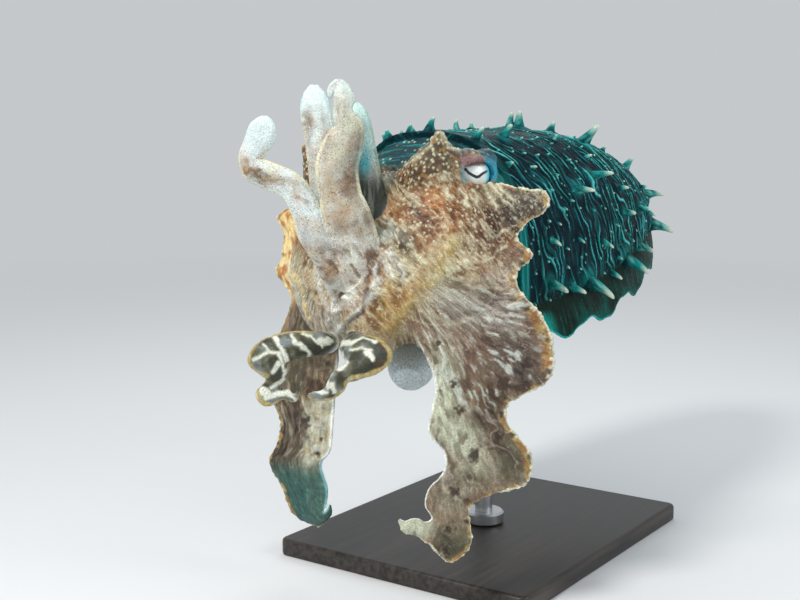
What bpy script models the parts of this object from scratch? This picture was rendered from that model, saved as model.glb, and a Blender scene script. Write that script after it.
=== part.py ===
"""Broadclub cuttlefish, life size, in its raised-arm display, held up by a plain stand.

Units are metres with +Z up. The animal faces -Y and its left side is +X. Lengths below are
written in millimetres and turned into metres by MM. The body and head are laid out in the
animal's own frame (left, back, up) about PIVOT, a point under the eyes. The arms are laid out
as seen from the animal's front left, in a frame turned by VIEW_TURN and VIEW_TILT: each
station is (across, up, near), across to the viewer's right and near towards the viewer.
"""

import math

import bmesh
import bpy
import numpy as np

MM = 0.001
GAP = 0.35  # left between neighbouring pieces, mm
PIVOT = (-4.4, -114.86, 190.0)
VIEW_TURN = math.radians(35.0)
VIEW_TILT = math.radians(8.0)

MANTLE_LENGTH = 300.0
MANTLE_FRONT = 38.0
MANTLE_HALF_WIDTH = 76.5
MANTLE_TOP = 113.0
MANTLE_BELLY = 28.0
MANTLE_RISE = 48.0
MANTLE_SHOULDER = 0.2
RIM_THICKNESS = 5.0
RIM_DEPTH = 9.0
FIN_WIDTH = 24.0
FIN_ROOT_THICKNESS = 6.0
FIN_EDGE_THICKNESS = 1.4
FIN_RIPPLE = 4.0
FIN_DROOP = 56.0  # degrees below level at the front
FIN_SUNK = 2.5  # how far the root starts inside the flank before it is cut back
FIN_ROWS = 25
FIN_STEPS = 4

HEAD_ROLL = math.radians(5.5)
EYE_CENTRE = (53.0, 3.0, 77.0)
HEAD_LEVEL = 40.0
EYE_RADIUS = 13.5
EYE_GAZE = (0.83, -0.53, 0.15)
LID_THICKNESS = 2.6
LID_OPENING = (10.5, 6.8)

# Papillae on the mantle stand in slanting rows that run out and back from the midline.
PAPILLA_ROWS = 9
PAPILLAE_A_ROW = 4
PAPILLA_HEIGHT = (5.0, 13.0)  # near the midline, low on the flank
PAPILLA_LEAN = 0.75
BROW_PAPILLA = ((46.0, -11.0, 82.0), (52.0, -20.0, 94.0), (54.5, -26.0, 106.0), 8.5)
HEAD_PAPILLAE = 14  # tried a side
SUCKER_SPACING = 5.0  # in sucker radii
SUCKER_WIDTH = 0.7  # of the arm's half width
SEED = 7

COLOURS = {
    "mantle_skin": ((0.02, 0.09, 0.09, 1.0), 0.5),
    "head_skin": ((0.42, 0.22, 0.11, 1.0), 0.5),
    "arm_skin": ((0.62, 0.5, 0.42, 1.0), 0.45),
    "banded_skin": ((0.2, 0.2, 0.15, 1.0), 0.4),
    "web_skin": ((0.5, 0.3, 0.22, 1.0), 0.5),
    "fin_skin": ((0.05, 0.12, 0.09, 1.0), 0.4),
    "funnel_skin": ((0.4, 0.42, 0.42, 1.0), 0.45),
    "eye": ((0.85, 0.9, 0.9, 1.0), 0.15),
    "stand_metal": ((0.25, 0.26, 0.27, 1.0), 0.35),
    "stand_board": ((0.08, 0.08, 0.085, 1.0), 0.5),
}

VIEW_ACROSS = np.array([math.cos(VIEW_TURN), math.sin(VIEW_TURN), 0.0])
VIEW_UP = np.array(
    [
        -math.sin(VIEW_TURN) * math.sin(VIEW_TILT),
        math.cos(VIEW_TURN) * math.sin(VIEW_TILT),
        math.cos(VIEW_TILT),
    ]
)
VIEW_NEAR = np.cross(VIEW_ACROSS, VIEW_UP)

# Raised arms, a station a row: (across, up, near, half width, half thickness, turn in degrees).
ARMS = {
    "arm_left_1": [
        (-22, 4, 24, 13, 8, 0),
        (-25, 22, 42, 15, 8, 0),
        (-32, 49, 56, 14, 7.5, 0),
        (-36, 63, 58, 12, 7, 0),
        (-38, 80, 58, 12, 6.5, 0),
        (-34, 94, 58, 11, 6, 0),
        (-30, 103, 60, 8.5, 5, 10),
        (-33, 111, 62, 6, 4, 15),
        (-36, 117, 63, 5, 3.5, 15),
        (-34, 124, 63, 6, 3.5, 0),
        (-36, 130, 62, 4.2, 3, 0),
        (-41, 130, 61, 3, 2.6, 0),
        (-43, 126, 60, 2.2, 2, 0),
        (-42, 121, 60, 1, 1, 0),
    ],
    "arm_right_2": [
        (-36, 8, 20, 10, 7, 0),
        (-43, 24, 42, 9.5, 7, 0),
        (-52, 40, 54, 9, 7, 0),
        (-58, 57, 56, 8, 6.5, 0),
        (-66, 69, 55, 7.5, 6, 0),
        (-79, 75, 53, 7.5, 6, 0),
        (-89, 80, 51, 7, 5.5, 0),
        (-90, 90, 52, 6.5, 5, 0),
        (-83, 98, 56, 7.8, 5, 0),
        (-82, 105, 60, 7.8, 4.5, 0),
        (-82, 110, 61, 4, 3, 0),
    ],
    "arm_right_1": [
        (-34, 12, 14, 9, 6, 0),
        (-38, 32, 30, 9, 6, 0),
        (-42, 50, 38, 9, 6, 0),
        (-46, 68, 40, 8.5, 6, 0),
        (-48, 86, 40, 8.2, 5.5, 0),
        (-50, 102, 40, 8.5, 5, 0),
        (-52, 116, 40, 8.6, 4.5, 0),
        (-53, 127, 40, 7, 3.5, 0),
        (-53, 133, 40, 2.5, 2, 0),
    ],
    "arm_left_2": [
        (-12, 10, 22, 11, 7, 0),
        (-11, 32, 30, 10, 7, 0),
        (-16, 52, 34, 10, 6.5, 0),
        (-21, 72, 36, 9.5, 6, 0),
        (-25, 92, 38, 9.5, 5.5, 0),
        (-27, 108, 38, 8.5, 4.5, 0),
        (-27, 117, 38, 6, 3.5, 0),
        (-28, 122, 38, 2.5, 2, 0),
    ],
}

# Broad arms, a fold of the edge a row: (across, up, near) of the outer edge, (across, up, near)
# of the inner edge, half thickness of the core.
BANDS = {
    "arm_left_4": [
        (60, 72, 44, 48, 67, 34, 3),
        (77, 67, 58, 45, 56, 34, 4),
        (88, 60, 64, 42, 48, 36, 4),
        (77, 47, 58, 39, 39, 36, 4),
        (71, 37, 55, 34, 31, 38, 4),
        (80, 27, 60, 28, 23, 40, 4),
        (71, 17, 56, 21, 13, 42, 4),
        (73, 5, 57, 11, 3, 44, 4),
        (86, -10, 58, 2, -12, 48, 5),
        (93, -29, 55, 14, -31, 55, 6),
        (89, -49, 57, 21, -50, 56, 5.5),
        (66, -62, 57, 19, -66, 56, 5.5),
        (66, -76, 56, 17, -80, 56, 5),
        (79, -93, 58, 26, -92, 55, 5),
        (76, -111, 56, 26, -104, 55, 5),
        (55, -117, 58, 17, -114, 57, 4.5),
        (42, -126, 55, 15, -124, 58, 4),
        (43, -147, 57, 19, -131, 59, 3.5),
        (30, -158, 60, 15, -133, 61, 3),
        (17, -146, 61, 11, -131, 62, 2.4),
        (10, -142, 60, 7, -131, 62, 2),
        (2, -140, 57, 3, -133, 59, 1.5),
        (-1, -133, 56, 0, -132, 56, 0.8),
    ],
    "arm_right_4": [
        (-70, 66, -36, -55, 60, -25, 3),
        (-84, 58, -50, -55, 49, -23, 3.5),
        (-80, 46, -50, -55, 39, -20, 3.5),
        (-81, 29, -49, -53, 26, -13, 3.5),
        (-85, 19, -50, -52, 18, -9, 3.5),
        (-74, 4, -43, -50, 5, -4, 4),
        (-77, -11, -44, -47, -8, -1, 4.5),
        (-86, -34, -47, -40, -31, -2, 5.5),
        (-92, -58, -50, -42, -54, -9, 6),
        (-82, -84, -47, -44, -79, -13, 5.5),
        (-85, -100, -48, -46, -99, -14, 5),
        (-90, -112, -50, -52, -109, -16, 4.5),
        (-80, -130, -44, -48, -125, -17, 4),
        (-72, -146, -40, -49, -136, -17, 3.5),
        (-56, -152, -30, -50, -140, -14, 2.8),
        (-47, -144, -22, -48, -138, -14, 2),
        (-46, -136, -17, -47, -135, -14, 0.8),
    ],
    "arm_right_3": [
        (-43, -21, 14, -44, -33, 14, 5),
        (-49, -20, 46, -48, -33, 47, 7),
        (-61, -19, 59, -57, -34, 60, 7),
        (-74, -21, 64, -66, -36, 66, 6),
        (-86, -27, 64, -69, -37, 69, 5),
        (-91, -37, 60, -68, -40, 68, 4.4),
        (-83, -45, 58, -68, -44, 64, 4),
        (-80, -48, 58, -69, -47, 61, 3.6),
        (-87, -57, 55, -73, -52, 59, 3.2),
        (-81, -64, 55, -72, -55, 59, 2.8),
        (-71, -59, 57, -68, -54, 60, 2.4),
        (-63, -61, 59, -64, -57, 60, 1.8),
        (-60, -55, 60, -61, -54, 60, 0.8),
    ],
    "arm_left_3": [
        (-26, -20, 16, -33, -33, 16, 5),
        (-23, -22, 48, -35, -34, 46, 7),
        (-13, -23, 64, -33, -36, 58, 6.5),
        (-5, -31, 70, -32, -38, 64, 5.6),
        (-9, -40, 70, -34, -40, 68, 5),
        (-22, -46, 70, -37, -41, 71, 4.4),
        (-31, -48, 69, -40, -44, 73, 3.6),
        (-34, -54, 68, -43, -50, 72, 3),
        (-42, -59, 67, -46, -54, 70, 2.5),
        (-50, -59, 67, -51, -55, 69, 1.8),
        (-55, -57, 68, -55, -56, 68, 0.8),
    ],
}
KEEL_EDGE = 0.8
CORE_PLACE = {"arm_left_4": 0.66, "arm_right_4": 0.66, "arm_right_3": 0.5, "arm_left_3": 0.5}
SUCKER_PLACE = {"arm_left_4": 0.7, "arm_right_4": 0.7, "arm_right_3": 0.62, "arm_left_3": 0.62}
CORE_POWER = {"arm_left_4": 1.2, "arm_right_4": 1.2, "arm_right_3": 0.6, "arm_left_3": 0.6}

# Where each arm is parted into lengths, as shares of its own length, and what they are called.
ARM_ORDER = (
    "arm_left_4", "arm_right_4", "arm_left_3", "arm_right_3",
    "arm_left_1", "arm_right_1", "arm_right_2", "arm_left_2",
)
ARM_RINGS = {
    "arm_left_1": 26, "arm_right_1": 18, "arm_left_2": 16, "arm_right_2": 24,
    "arm_left_3": 24, "arm_right_3": 28, "arm_left_4": 52, "arm_right_4": 38,
}
ARM_SIDES = 10
BAND_STEPS = 5
ARM_LENGTHS = {
    "arm_left_1": ((0.6,), ("base", "tip")),
    "arm_right_2": ((0.56,), ("base", "tip")),
    "arm_right_1": ((0.6,), ("base", "tip")),
    "arm_left_2": ((0.6,), ("base", "tip")),
    "arm_right_3": ((0.38, 0.7), ("base", "middle", "tip")),
    "arm_left_3": ((0.33, 0.79), ("base", "middle", "tip")),
    "arm_left_4": ((0.33, 0.53, 0.74), ("web", "base", "middle", "tip")),
    "arm_right_4": ((0.4, 0.66), ("web", "base", "tip")),
}

FUNNEL = [
    (20, -6, -46, 18, 15, 0),
    (14, -22, -26, 19, 16, 0),
    (9, -36, -6, 17.5, 15, 0),
    (6.5, -46, 8, 14.5, 12.5, 0),
    (5.5, -51, 15, 10, 9, 0),
]

BASE_SIZE = (200.0, 240.0, 12.0)
BASE_CENTRE = (0.0, 112.0)
ROD_RADIUS = 6.5
ROD_PLACE = (0.0, 108.0)
COLLAR_RADIUS = 15.0
COLLAR_HEIGHT = 9.0


def start_scene():
    """Clears the scene and returns the collections for the parts and for the cutters."""
    for old in list(bpy.data.objects):
        bpy.data.objects.remove(old, do_unlink=True)
    made = [bpy.data.collections.new(name) for name in ("broadclub_cuttlefish", "cutters")]
    for collection in made:
        bpy.context.scene.collection.children.link(collection)
    return made


def make_material(name):
    """A Principled material in the colour and roughness of COLOURS."""
    colour, roughness = COLOURS[name]
    material = bpy.data.materials.new(name)
    material.use_nodes = True
    shader = material.node_tree.nodes["Principled BSDF"]
    shader.inputs["Base Color"].default_value = colour
    shader.inputs["Roughness"].default_value = roughness
    shader.inputs["Metallic"].default_value = 0.8 if name == "stand_metal" else 0.0
    material.diffuse_color = colour
    return material


def new_mesh_object(name, points, faces):
    """An object in the parts collection from points in millimetres about PIVOT."""
    mesh = bpy.data.meshes.new(name)
    placed = (np.asarray(points, float) + np.array(PIVOT)) * MM
    mesh.from_pydata(placed.tolist(), [], faces)
    tidy = bmesh.new()
    tidy.from_mesh(mesh)
    bmesh.ops.triangulate(tidy, faces=tidy.faces)
    bmesh.ops.recalc_face_normals(tidy, faces=tidy.faces)
    tidy.to_mesh(mesh)
    tidy.free()
    made = bpy.data.objects.new(name, mesh)
    PARTS.objects.link(made)
    return made


def ring_faces(rings, around):
    """Quads between successive rings of points, with an n-gon at each end."""
    faces = []
    for i in range(rings - 1):
        for j in range(around):
            k = (j + 1) % around
            faces.append((i * around + j, i * around + k, (i + 1) * around + k, (i + 1) * around + j))
    faces.append(tuple(reversed(range(around))))
    faces.append(tuple((rings - 1) * around + j for j in range(around)))
    return faces


def smooth_path(stations, count):
    """Catmull-Rom through the stations, read at count points spaced evenly along it."""
    knots = np.asarray(stations, float)
    padded = np.vstack([2 * knots[0] - knots[1], knots, 2 * knots[-1] - knots[-2]])
    fine = []
    for i in range(1, len(padded) - 2):
        a, b, c, d = padded[i - 1 : i + 3]
        for t in np.linspace(0, 1, 24, endpoint=False):
            fine.append(
                0.5 * (2 * b + (c - a) * t + (2 * a - 5 * b + 4 * c - d) * t * t + (3 * b - a - 3 * c + d) * t**3)
            )
    fine.append(knots[-1])
    fine = np.array(fine)
    steps = np.linalg.norm(np.diff(fine[:, :3], axis=0), axis=1)
    along = np.concatenate([[0], np.cumsum(steps)])
    share = along / along[-1]
    wanted = np.asarray(count) if np.ndim(count) else np.linspace(0, 1, count)
    return np.stack([np.interp(wanted, share, fine[:, k]) for k in range(fine.shape[1])], axis=1)


def seen_to_body(points):
    """Points given as (across, up, near) turned into the animal's (left, back, up)."""
    points = np.asarray(points, float)
    return points[:, :1] * VIEW_ACROSS + points[:, 1:2] * VIEW_UP + points[:, 2:3] * VIEW_NEAR


def arm_frames(stations, shares):
    """Centres, tangents, width and face directions, sizes and curvature along an arm."""
    read = smooth_path(stations, shares)
    before = smooth_path(stations, np.clip(np.asarray(shares) - 0.01, 0, 1))
    after = smooth_path(stations, np.clip(np.asarray(shares) + 0.01, 0, 1))
    centres = seen_to_body(read)
    ahead, behind = seen_to_body(after), seen_to_body(before)
    tangents = ahead - behind
    tangents /= np.linalg.norm(tangents, axis=1, keepdims=True)
    widths = np.cross(tangents, VIEW_NEAR)
    widths /= np.linalg.norm(widths, axis=1, keepdims=True)
    normals = np.cross(widths, tangents)
    turn = np.radians(read[:, 5])[:, None]
    turned = widths * np.cos(turn) + normals * np.sin(turn)
    normals = np.cross(turned, tangents)
    first = centres - behind
    last = ahead - centres
    step = 0.5 * (np.linalg.norm(first, axis=1) + np.linalg.norm(last, axis=1))
    unit_first = first / np.maximum(np.linalg.norm(first, axis=1, keepdims=True), 1e-6)
    unit_last = last / np.maximum(np.linalg.norm(last, axis=1, keepdims=True), 1e-6)
    bend = (unit_last - unit_first) / np.maximum(step, 1e-6)[:, None]
    return centres, tangents, turned, normals, read[:, 3], read[:, 4], bend


def limited(offset, bend):
    """Keeps an offset towards the inside of a bend short of the bend's own centre."""
    inside = np.sign(offset) * bend
    room = np.where(inside > 1e-6, 0.8 / np.maximum(inside, 1e-6), 1e6)
    return np.sign(offset) * np.minimum(np.abs(offset), room)


def ribbon(stations, shares, around, grow=0.0):
    """Points and faces of a tapered flat tube along an arm."""
    centres, _, widths, normals, half_width, half_thick, bend = arm_frames(stations, shares)
    angles = np.linspace(0, 2 * math.pi, around, endpoint=False)
    across, over = np.cos(angles), np.sin(angles)
    bend_across = np.sum(bend * widths, axis=1)
    bend_over = np.sum(bend * normals, axis=1)
    points = []
    for i, centre in enumerate(centres):
        reach = (half_width[i] + grow) * across
        depth = (half_thick[i] + grow) * over
        reach = limited(reach, bend_across[i])
        depth = limited(depth, bend_over[i])
        points.append(centre + reach[:, None] * widths[i] + depth[:, None] * normals[i])
    return np.concatenate(points), ring_faces(len(centres), around)


def band_sheet(stations, shares, steps, grow=0.0):
    """Rows of points across a broad arm, from its outer edge to its inner one."""
    read = smooth_path(stations, shares)
    outer, inner = seen_to_body(read[:, :3]), seen_to_body(read[:, 3:6])
    span = inner - outer
    width = np.linalg.norm(span, axis=1, keepdims=True)
    outer, inner = outer - span / width * grow, inner + span / width * grow
    v = np.linspace(0, 1, steps)[None, :, None]
    return outer[:, None] * (1 - v) + inner[:, None] * v, read[:, 6]


def band(name, shares, steps, grow=0.0):
    """Points and faces of a broad arm with a thick core and thin edges."""
    sheet, core = band_sheet(BANDS[name], shares, steps, grow)
    v = np.linspace(0, 1, steps)
    place = CORE_PLACE[name]
    reach = np.where(v < place, place, 1 - place)
    profile = (1 - np.minimum(np.abs(v - place) / reach, 1) ** 2) ** CORE_POWER[name]
    edge = np.minimum(KEEL_EDGE, core)[:, None]
    half = edge + (core[:, None] - edge) * profile[None] + grow
    return plate_from_sheet(sheet, half)


def ellipsoid_field(points, centre, radii):
    """Signed distance, nearly, from an ellipsoid."""
    local = (points - np.array(centre)) / np.array(radii)
    outer = np.linalg.norm(local, axis=1)
    inner = np.linalg.norm(local / np.array(radii), axis=1)
    return outer * (outer - 1) / np.maximum(inner, 1e-9)


def cone_field(points, start, end, start_radius, end_radius):
    """Signed distance from a rounded cone between two points."""
    start, end = np.array(start, float), np.array(end, float)
    axis = end - start
    share = np.clip((points - start) @ axis / (axis @ axis), 0, 1)
    radius = start_radius + (end_radius - start_radius) * share
    return np.linalg.norm(points - start - share[:, None] * axis, axis=1) - radius


def blend_fields(first, second, reach):
    """Smooth union of two distance fields."""
    mix = np.clip(0.5 + 0.5 * (second - first) / reach, 0, 1)
    return second * (1 - mix) + first * mix - reach * mix * (1 - mix)


def roll_head(points):
    """Turns head-frame points by HEAD_ROLL about a line along the animal at HEAD_LEVEL."""
    turn = np.array(
        [
            [math.cos(HEAD_ROLL), 0, -math.sin(HEAD_ROLL)],
            [0, 1, 0],
            [math.sin(HEAD_ROLL), 0, math.cos(HEAD_ROLL)],
        ]
    )
    middle = np.array([0.0, 0.0, HEAD_LEVEL])
    return (np.asarray(points, float) - middle) @ turn.T + middle


def head_field(points):
    """The head in its own frame: skull, cheeks, crown of the arms, brows and eye bulges."""
    side = points.copy()
    side[:, 0] = np.abs(side[:, 0])
    field = ellipsoid_field(side, (0, 14, 34), (60, 42, 50))
    field = blend_fields(field, ellipsoid_field(side, (34, -8, 20), (44, 36, 52)), 16)
    field = blend_fields(field, cone_field(side, (0, -24, 34), (0, -34, -14), 22, 18), 12)
    field = blend_fields(field, cone_field(side, (30, -22, 44), (46, -8, 76), 17, 15), 12)
    field = blend_fields(field, cone_field(side, (47, -14, 78), (54, -25, 101), 12, 2.5), 9)
    field = blend_fields(field, ellipsoid_field(side, EYE_CENTRE, (EYE_RADIUS + LID_THICKNESS,) * 3), 7)
    field = blend_fields(field, cone_field(side, (48, -2, 58), (64, 4, 30), 17, 14), 10)
    return blend_fields(field, ellipsoid_field(side, (0, 46, 47), (55, 36, 53)), 10)


def sunk_onto(field, centre, directions, reach=170.0):
    """The outermost point of a field's surface along each direction from a centre."""
    centre = np.array(centre, float)
    outer = np.full(len(directions), reach)
    inner = np.zeros(len(directions))
    found = np.zeros(len(directions), bool)
    for distance in np.arange(reach, 0, -1.5):
        inside = (field(centre + directions * distance) < 0) & ~found
        inner[inside] = distance
        outer[inside] = distance + 1.5
        found |= inside
    for _ in range(14):
        middle = 0.5 * (inner + outer)
        inside = field(centre + directions * middle[:, None]) < 0
        inner = np.where(inside, middle, inner)
        outer = np.where(inside, outer, middle)
    return centre + directions * inner[:, None]


def head_shape(segments, rings, grow=0.0):
    """Points and faces of the head, rolled into place."""
    centre = (0.0, -2.0, 34.0)
    ball = bmesh.new()
    bmesh.ops.create_uvsphere(ball, u_segments=segments, v_segments=rings, radius=1.0)
    directions = np.array([vert.co for vert in ball.verts])
    faces = [tuple(vert.index for vert in face.verts) for face in ball.faces]
    ball.free()
    points = sunk_onto(lambda p: head_field(p) - grow, centre, directions)
    return roll_head(points), faces


def mantle_section(share):
    """Half width, top and belly heights, widest level and squareness at a share of length."""
    rear = np.clip((share - MANTLE_SHOULDER) / (1 - MANTLE_SHOULDER), 0, 1)
    round_off = np.maximum(1 - rear**2.5, 0.0) ** 0.64
    front = np.clip(1 - share / 0.34, 0, 1)
    half_width = MANTLE_HALF_WIDTH * (round_off - 0.09 * front**2)
    top = (MANTLE_TOP - 34.5 * share) * (round_off**1.3 - 0.02 * front**2)
    belly = MANTLE_BELLY * round_off
    level = -2.0 + MANTLE_RISE * share**1.34
    square = 2.8 - 0.6 * share
    return half_width, top, belly, level, square


def mantle_points(share, angle, grow=0.0):
    """Points on the mantle: share from the front rim, angle from the back's midline."""
    half_width, top, belly, level, square = mantle_section(share)
    power = 2.0 / square
    sine, cosine = np.sin(angle), np.cos(angle)
    lift = np.where(cosine > 0, top + grow, belly + grow)
    bend = np.where(cosine > 0, power, 0.9)
    x = (half_width + grow) * np.sign(sine) * np.abs(sine) ** bend
    z = level + lift * np.sign(cosine) * np.abs(cosine) ** bend
    rim_lead = -9.0 * np.clip(cosine, 0, 1) ** 2 + 8.0 * np.clip(-cosine, 0, 1)
    y = MANTLE_FRONT + MANTLE_LENGTH * share + rim_lead * (1 - share) ** 3
    return np.stack([x, y, z], axis=-1)


def mantle_shape(rings, around, grow=0.0):
    """Points and faces of the mantle, a cup at its rim and closed at its tail."""
    shares = np.clip(1 - np.cos(np.linspace(0, math.pi / 2, rings)) ** 1.25, 0, 0.9985)
    angles = np.linspace(0, 2 * math.pi, around, endpoint=False)
    points = [mantle_points(np.full(around, share), angles, grow) for share in shares]
    rim = mantle_points(np.full(around, 0.0), angles, 0.0)
    middle = rim.mean(axis=0)
    lip = middle + (rim - middle) * (1 - (RIM_THICKNESS + grow) / MANTLE_HALF_WIDTH)
    cup = lip + np.array([0.0, RIM_DEPTH - grow, 0.0])
    lip = lip + np.array([0.0, 0.6 - grow, 0.0])
    points[0] = points[0] - np.array([0.0, grow, 0.0])
    return np.concatenate([cup, lip, *points]), ring_faces(rings + 2, around)


def fin_sheet(side, shares, steps, grow=0.0):
    """Rows of points across the fin, from the mantle's flank to its rippled edge."""
    rows = []
    for share in shares:
        angle = np.array([side * math.radians(97)])
        root = mantle_points(np.array([share]), angle, -FIN_SUNK)[0]
        ahead = mantle_points(np.array([min(share + 0.01, 0.998)]), angle, -FIN_SUNK)[0]
        tangent = ahead - root
        tangent /= np.linalg.norm(tangent)
        outward = np.cross(tangent, np.array([0, 0, 1.0])) * side
        outward /= np.linalg.norm(outward)
        width = FIN_WIDTH * min(1.0, 0.35 + share * 4.5) * (1 - 0.2 * share) + FIN_SUNK + grow
        ripple = math.sin(share * 30 + 1.5 * side) * FIN_RIPPLE
        droop = math.radians(FIN_DROOP * (1 + 0.4 * share))
        v = np.linspace(0, 1, steps)
        out = width * math.cos(droop) * v
        drop = -math.sin(droop) * width * v**1.5 + ripple * v**1.5
        rows.append(root + outward * out[:, None] + np.array([0, 0, 1.0]) * drop[:, None])
    return np.array(rows)


def fin_shape(side, rows, steps, grow=0.0):
    """Points and faces of one fin."""
    sheet = fin_sheet(side, np.linspace(0.02, 0.975, rows), steps, grow)
    half = np.linspace(FIN_ROOT_THICKNESS, FIN_EDGE_THICKNESS, steps) / 2 + grow
    return plate_from_sheet(sheet, np.repeat(half[None], rows, axis=0))


def plate_from_sheet(sheet, half):
    """Points and faces of a closed plate with its middle on a sheet of rows of points."""
    rows, steps, _ = sheet.shape
    along = np.gradient(sheet, axis=0)
    across = np.gradient(sheet, axis=1)
    normals = np.cross(along, across)
    normals /= np.linalg.norm(normals, axis=2, keepdims=True)
    upper = (sheet + normals * half[:, :, None]).reshape(-1, 3)
    lower = (sheet - normals * half[:, :, None]).reshape(-1, 3)
    count = rows * steps
    faces = []
    for i in range(rows - 1):
        for j in range(steps - 1):
            a, b = i * steps + j, i * steps + j + 1
            c, d = (i + 1) * steps + j + 1, (i + 1) * steps + j
            faces += [(a, b, c), (a, c, d)]
            faces += [(count + a, count + c, count + b), (count + a, count + d, count + c)]
    border = [(i * steps, (i + 1) * steps) for i in range(rows - 1)]
    border += [((rows - 1) * steps + j, (rows - 1) * steps + j + 1) for j in range(steps - 1)]
    border += [((i + 1) * steps + steps - 1, i * steps + steps - 1) for i in range(rows - 1)]
    border += [(j + 1, j) for j in range(steps - 1)]
    for a, b in border:
        faces += [(a, b, count + b), (a, count + b, count + a)]
    return np.concatenate([upper, lower]), faces


def cut(target, other):
    """Cuts target by a cutter, applies it and removes the cutter."""
    PARTS.objects.unlink(other)
    CUTTERS.objects.link(other)
    other.hide_render = True
    other.display_type = "WIRE"
    modifier = target.modifiers.new("cut", "BOOLEAN")
    modifier.operation = "DIFFERENCE"
    modifier.object = other
    graph = bpy.context.evaluated_depsgraph_get()
    result = bpy.data.meshes.new_from_object(target.evaluated_get(graph))
    target.modifiers.clear()
    target.data = result
    bpy.data.objects.remove(other, do_unlink=True)


def keep_largest(target):
    """Drops all but the largest closed surface of an object's mesh."""
    shape = bmesh.new()
    shape.from_mesh(target.data)
    shape.faces.ensure_lookup_table()
    seen = set()
    groups = []
    for face in shape.faces:
        if face.index in seen:
            continue
        stack, group = [face], []
        seen.add(face.index)
        while stack:
            here = stack.pop()
            group.append(here)
            for edge in here.edges:
                for near in edge.link_faces:
                    if near.index not in seen:
                        seen.add(near.index)
                        stack.append(near)
        groups.append(group)
    if len(groups) > 1:
        groups.sort(key=lambda group: -sum(face.calc_area() for face in group))
        loose = [face for group in groups[1:] for face in group]
        bmesh.ops.delete(shape, geom=loose, context="FACES")
        shape.to_mesh(target.data)
    shape.free()


def spike(base, middle, tip, radius, sides=4):
    """Points and faces of a bent papilla: a ring at its base, a ring midway and a tip."""
    base, middle, tip = (np.asarray(p, float) for p in (base, middle, tip))
    axis = tip - base
    side = np.cross(axis, (0.31, 0.52, 0.8))
    side /= np.linalg.norm(side)
    other = np.cross(axis, side) / np.linalg.norm(axis)
    points = []
    for centre, size in ((base, radius), (middle, radius * 0.55)):
        for k in range(sides):
            turn = 2 * math.pi * k / sides
            points.append(centre + size * (math.cos(turn) * side + math.sin(turn) * other))
    points.append(tip)
    faces = [tuple(range(sides))]
    for k in range(sides):
        following = (k + 1) % sides
        faces.append((k, following, sides + following, sides + k))
        faces.append((sides + k, sides + following, 2 * sides))
    return np.array(points), faces


def sucker(base, facing, radius, sides=5):
    """Points and faces of a cup on a short stalk, its face sunk in the middle."""
    base, facing = np.asarray(base, float), np.asarray(facing, float)
    side = np.cross(facing, (0.31, 0.52, 0.8))
    side /= np.linalg.norm(side)
    other = np.cross(facing, side)
    points = []
    for height, size in ((-0.7, 0.7), (0.55, 1.0)):
        for k in range(sides):
            turn = 2 * math.pi * k / sides
            rim = radius * size * (math.cos(turn) * side + math.sin(turn) * other)
            points.append(base + facing * height * radius + rim)
    points.append(base + facing * 0.15 * radius)
    faces = [tuple(range(sides))]
    for k in range(sides):
        following = (k + 1) % sides
        faces.append((k, following, sides + following, sides + k))
        faces.append((sides + k, sides + following, 2 * sides))
    return np.array(points), faces


def join_pieces(target, pieces):
    """Fuses many small closed pieces onto target with one union."""
    if not pieces:
        return
    gathered = bpy.data.collections.new("pieces")
    bpy.context.scene.collection.children.link(gathered)
    for points, faces in pieces:
        piece = new_mesh_object("piece", points, faces)
        PARTS.objects.unlink(piece)
        gathered.objects.link(piece)
    modifier = target.modifiers.new("join", "BOOLEAN")
    modifier.operation = "UNION"
    modifier.operand_type = "COLLECTION"
    modifier.collection = gathered
    modifier.solver = "MANIFOLD"
    graph = bpy.context.evaluated_depsgraph_get()
    result = bpy.data.meshes.new_from_object(target.evaluated_get(graph))
    target.modifiers.clear()
    target.data = result
    for piece in list(gathered.objects):
        bpy.data.objects.remove(piece, do_unlink=True)
    bpy.data.collections.remove(gathered)


def mantle_papillae():
    """Papillae in slanting rows on both sides of the back, larger down the flanks."""
    chance = np.random.default_rng(SEED)
    pieces = []
    for row in range(PAPILLA_ROWS):
        for place in range(PAPILLAE_A_ROW):
            for side in (-1, 1):
                out = (place + 0.35 + 0.3 * (row % 2) + chance.uniform(-0.15, 0.15)) / PAPILLAE_A_ROW
                share = 0.05 + 0.78 * row / PAPILLA_ROWS + 0.12 * out + chance.uniform(-0.015, 0.015)
                angle = side * math.radians(6 + 74 * out)
                here, along, outward = (
                    mantle_points(np.array([share + a]), np.array([angle + b]))[0]
                    for a, b in ((0, 0), (0.01, 0), (0, 0.02))
                )
                normal = np.cross(outward - here, along - here)
                normal /= np.linalg.norm(normal)
                back = (along - here) / np.linalg.norm(along - here)
                low, high = PAPILLA_HEIGHT
                height = (low + (high - low) * out) * chance.uniform(0.75, 1.2)
                tip = here + normal * height + back * height * PAPILLA_LEAN
                middle = here + normal * height * 0.6 + back * height * 0.25
                pieces.append(spike(here - normal * 1.6, middle, tip, 0.24 * height + 1.2))
    return pieces


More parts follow.
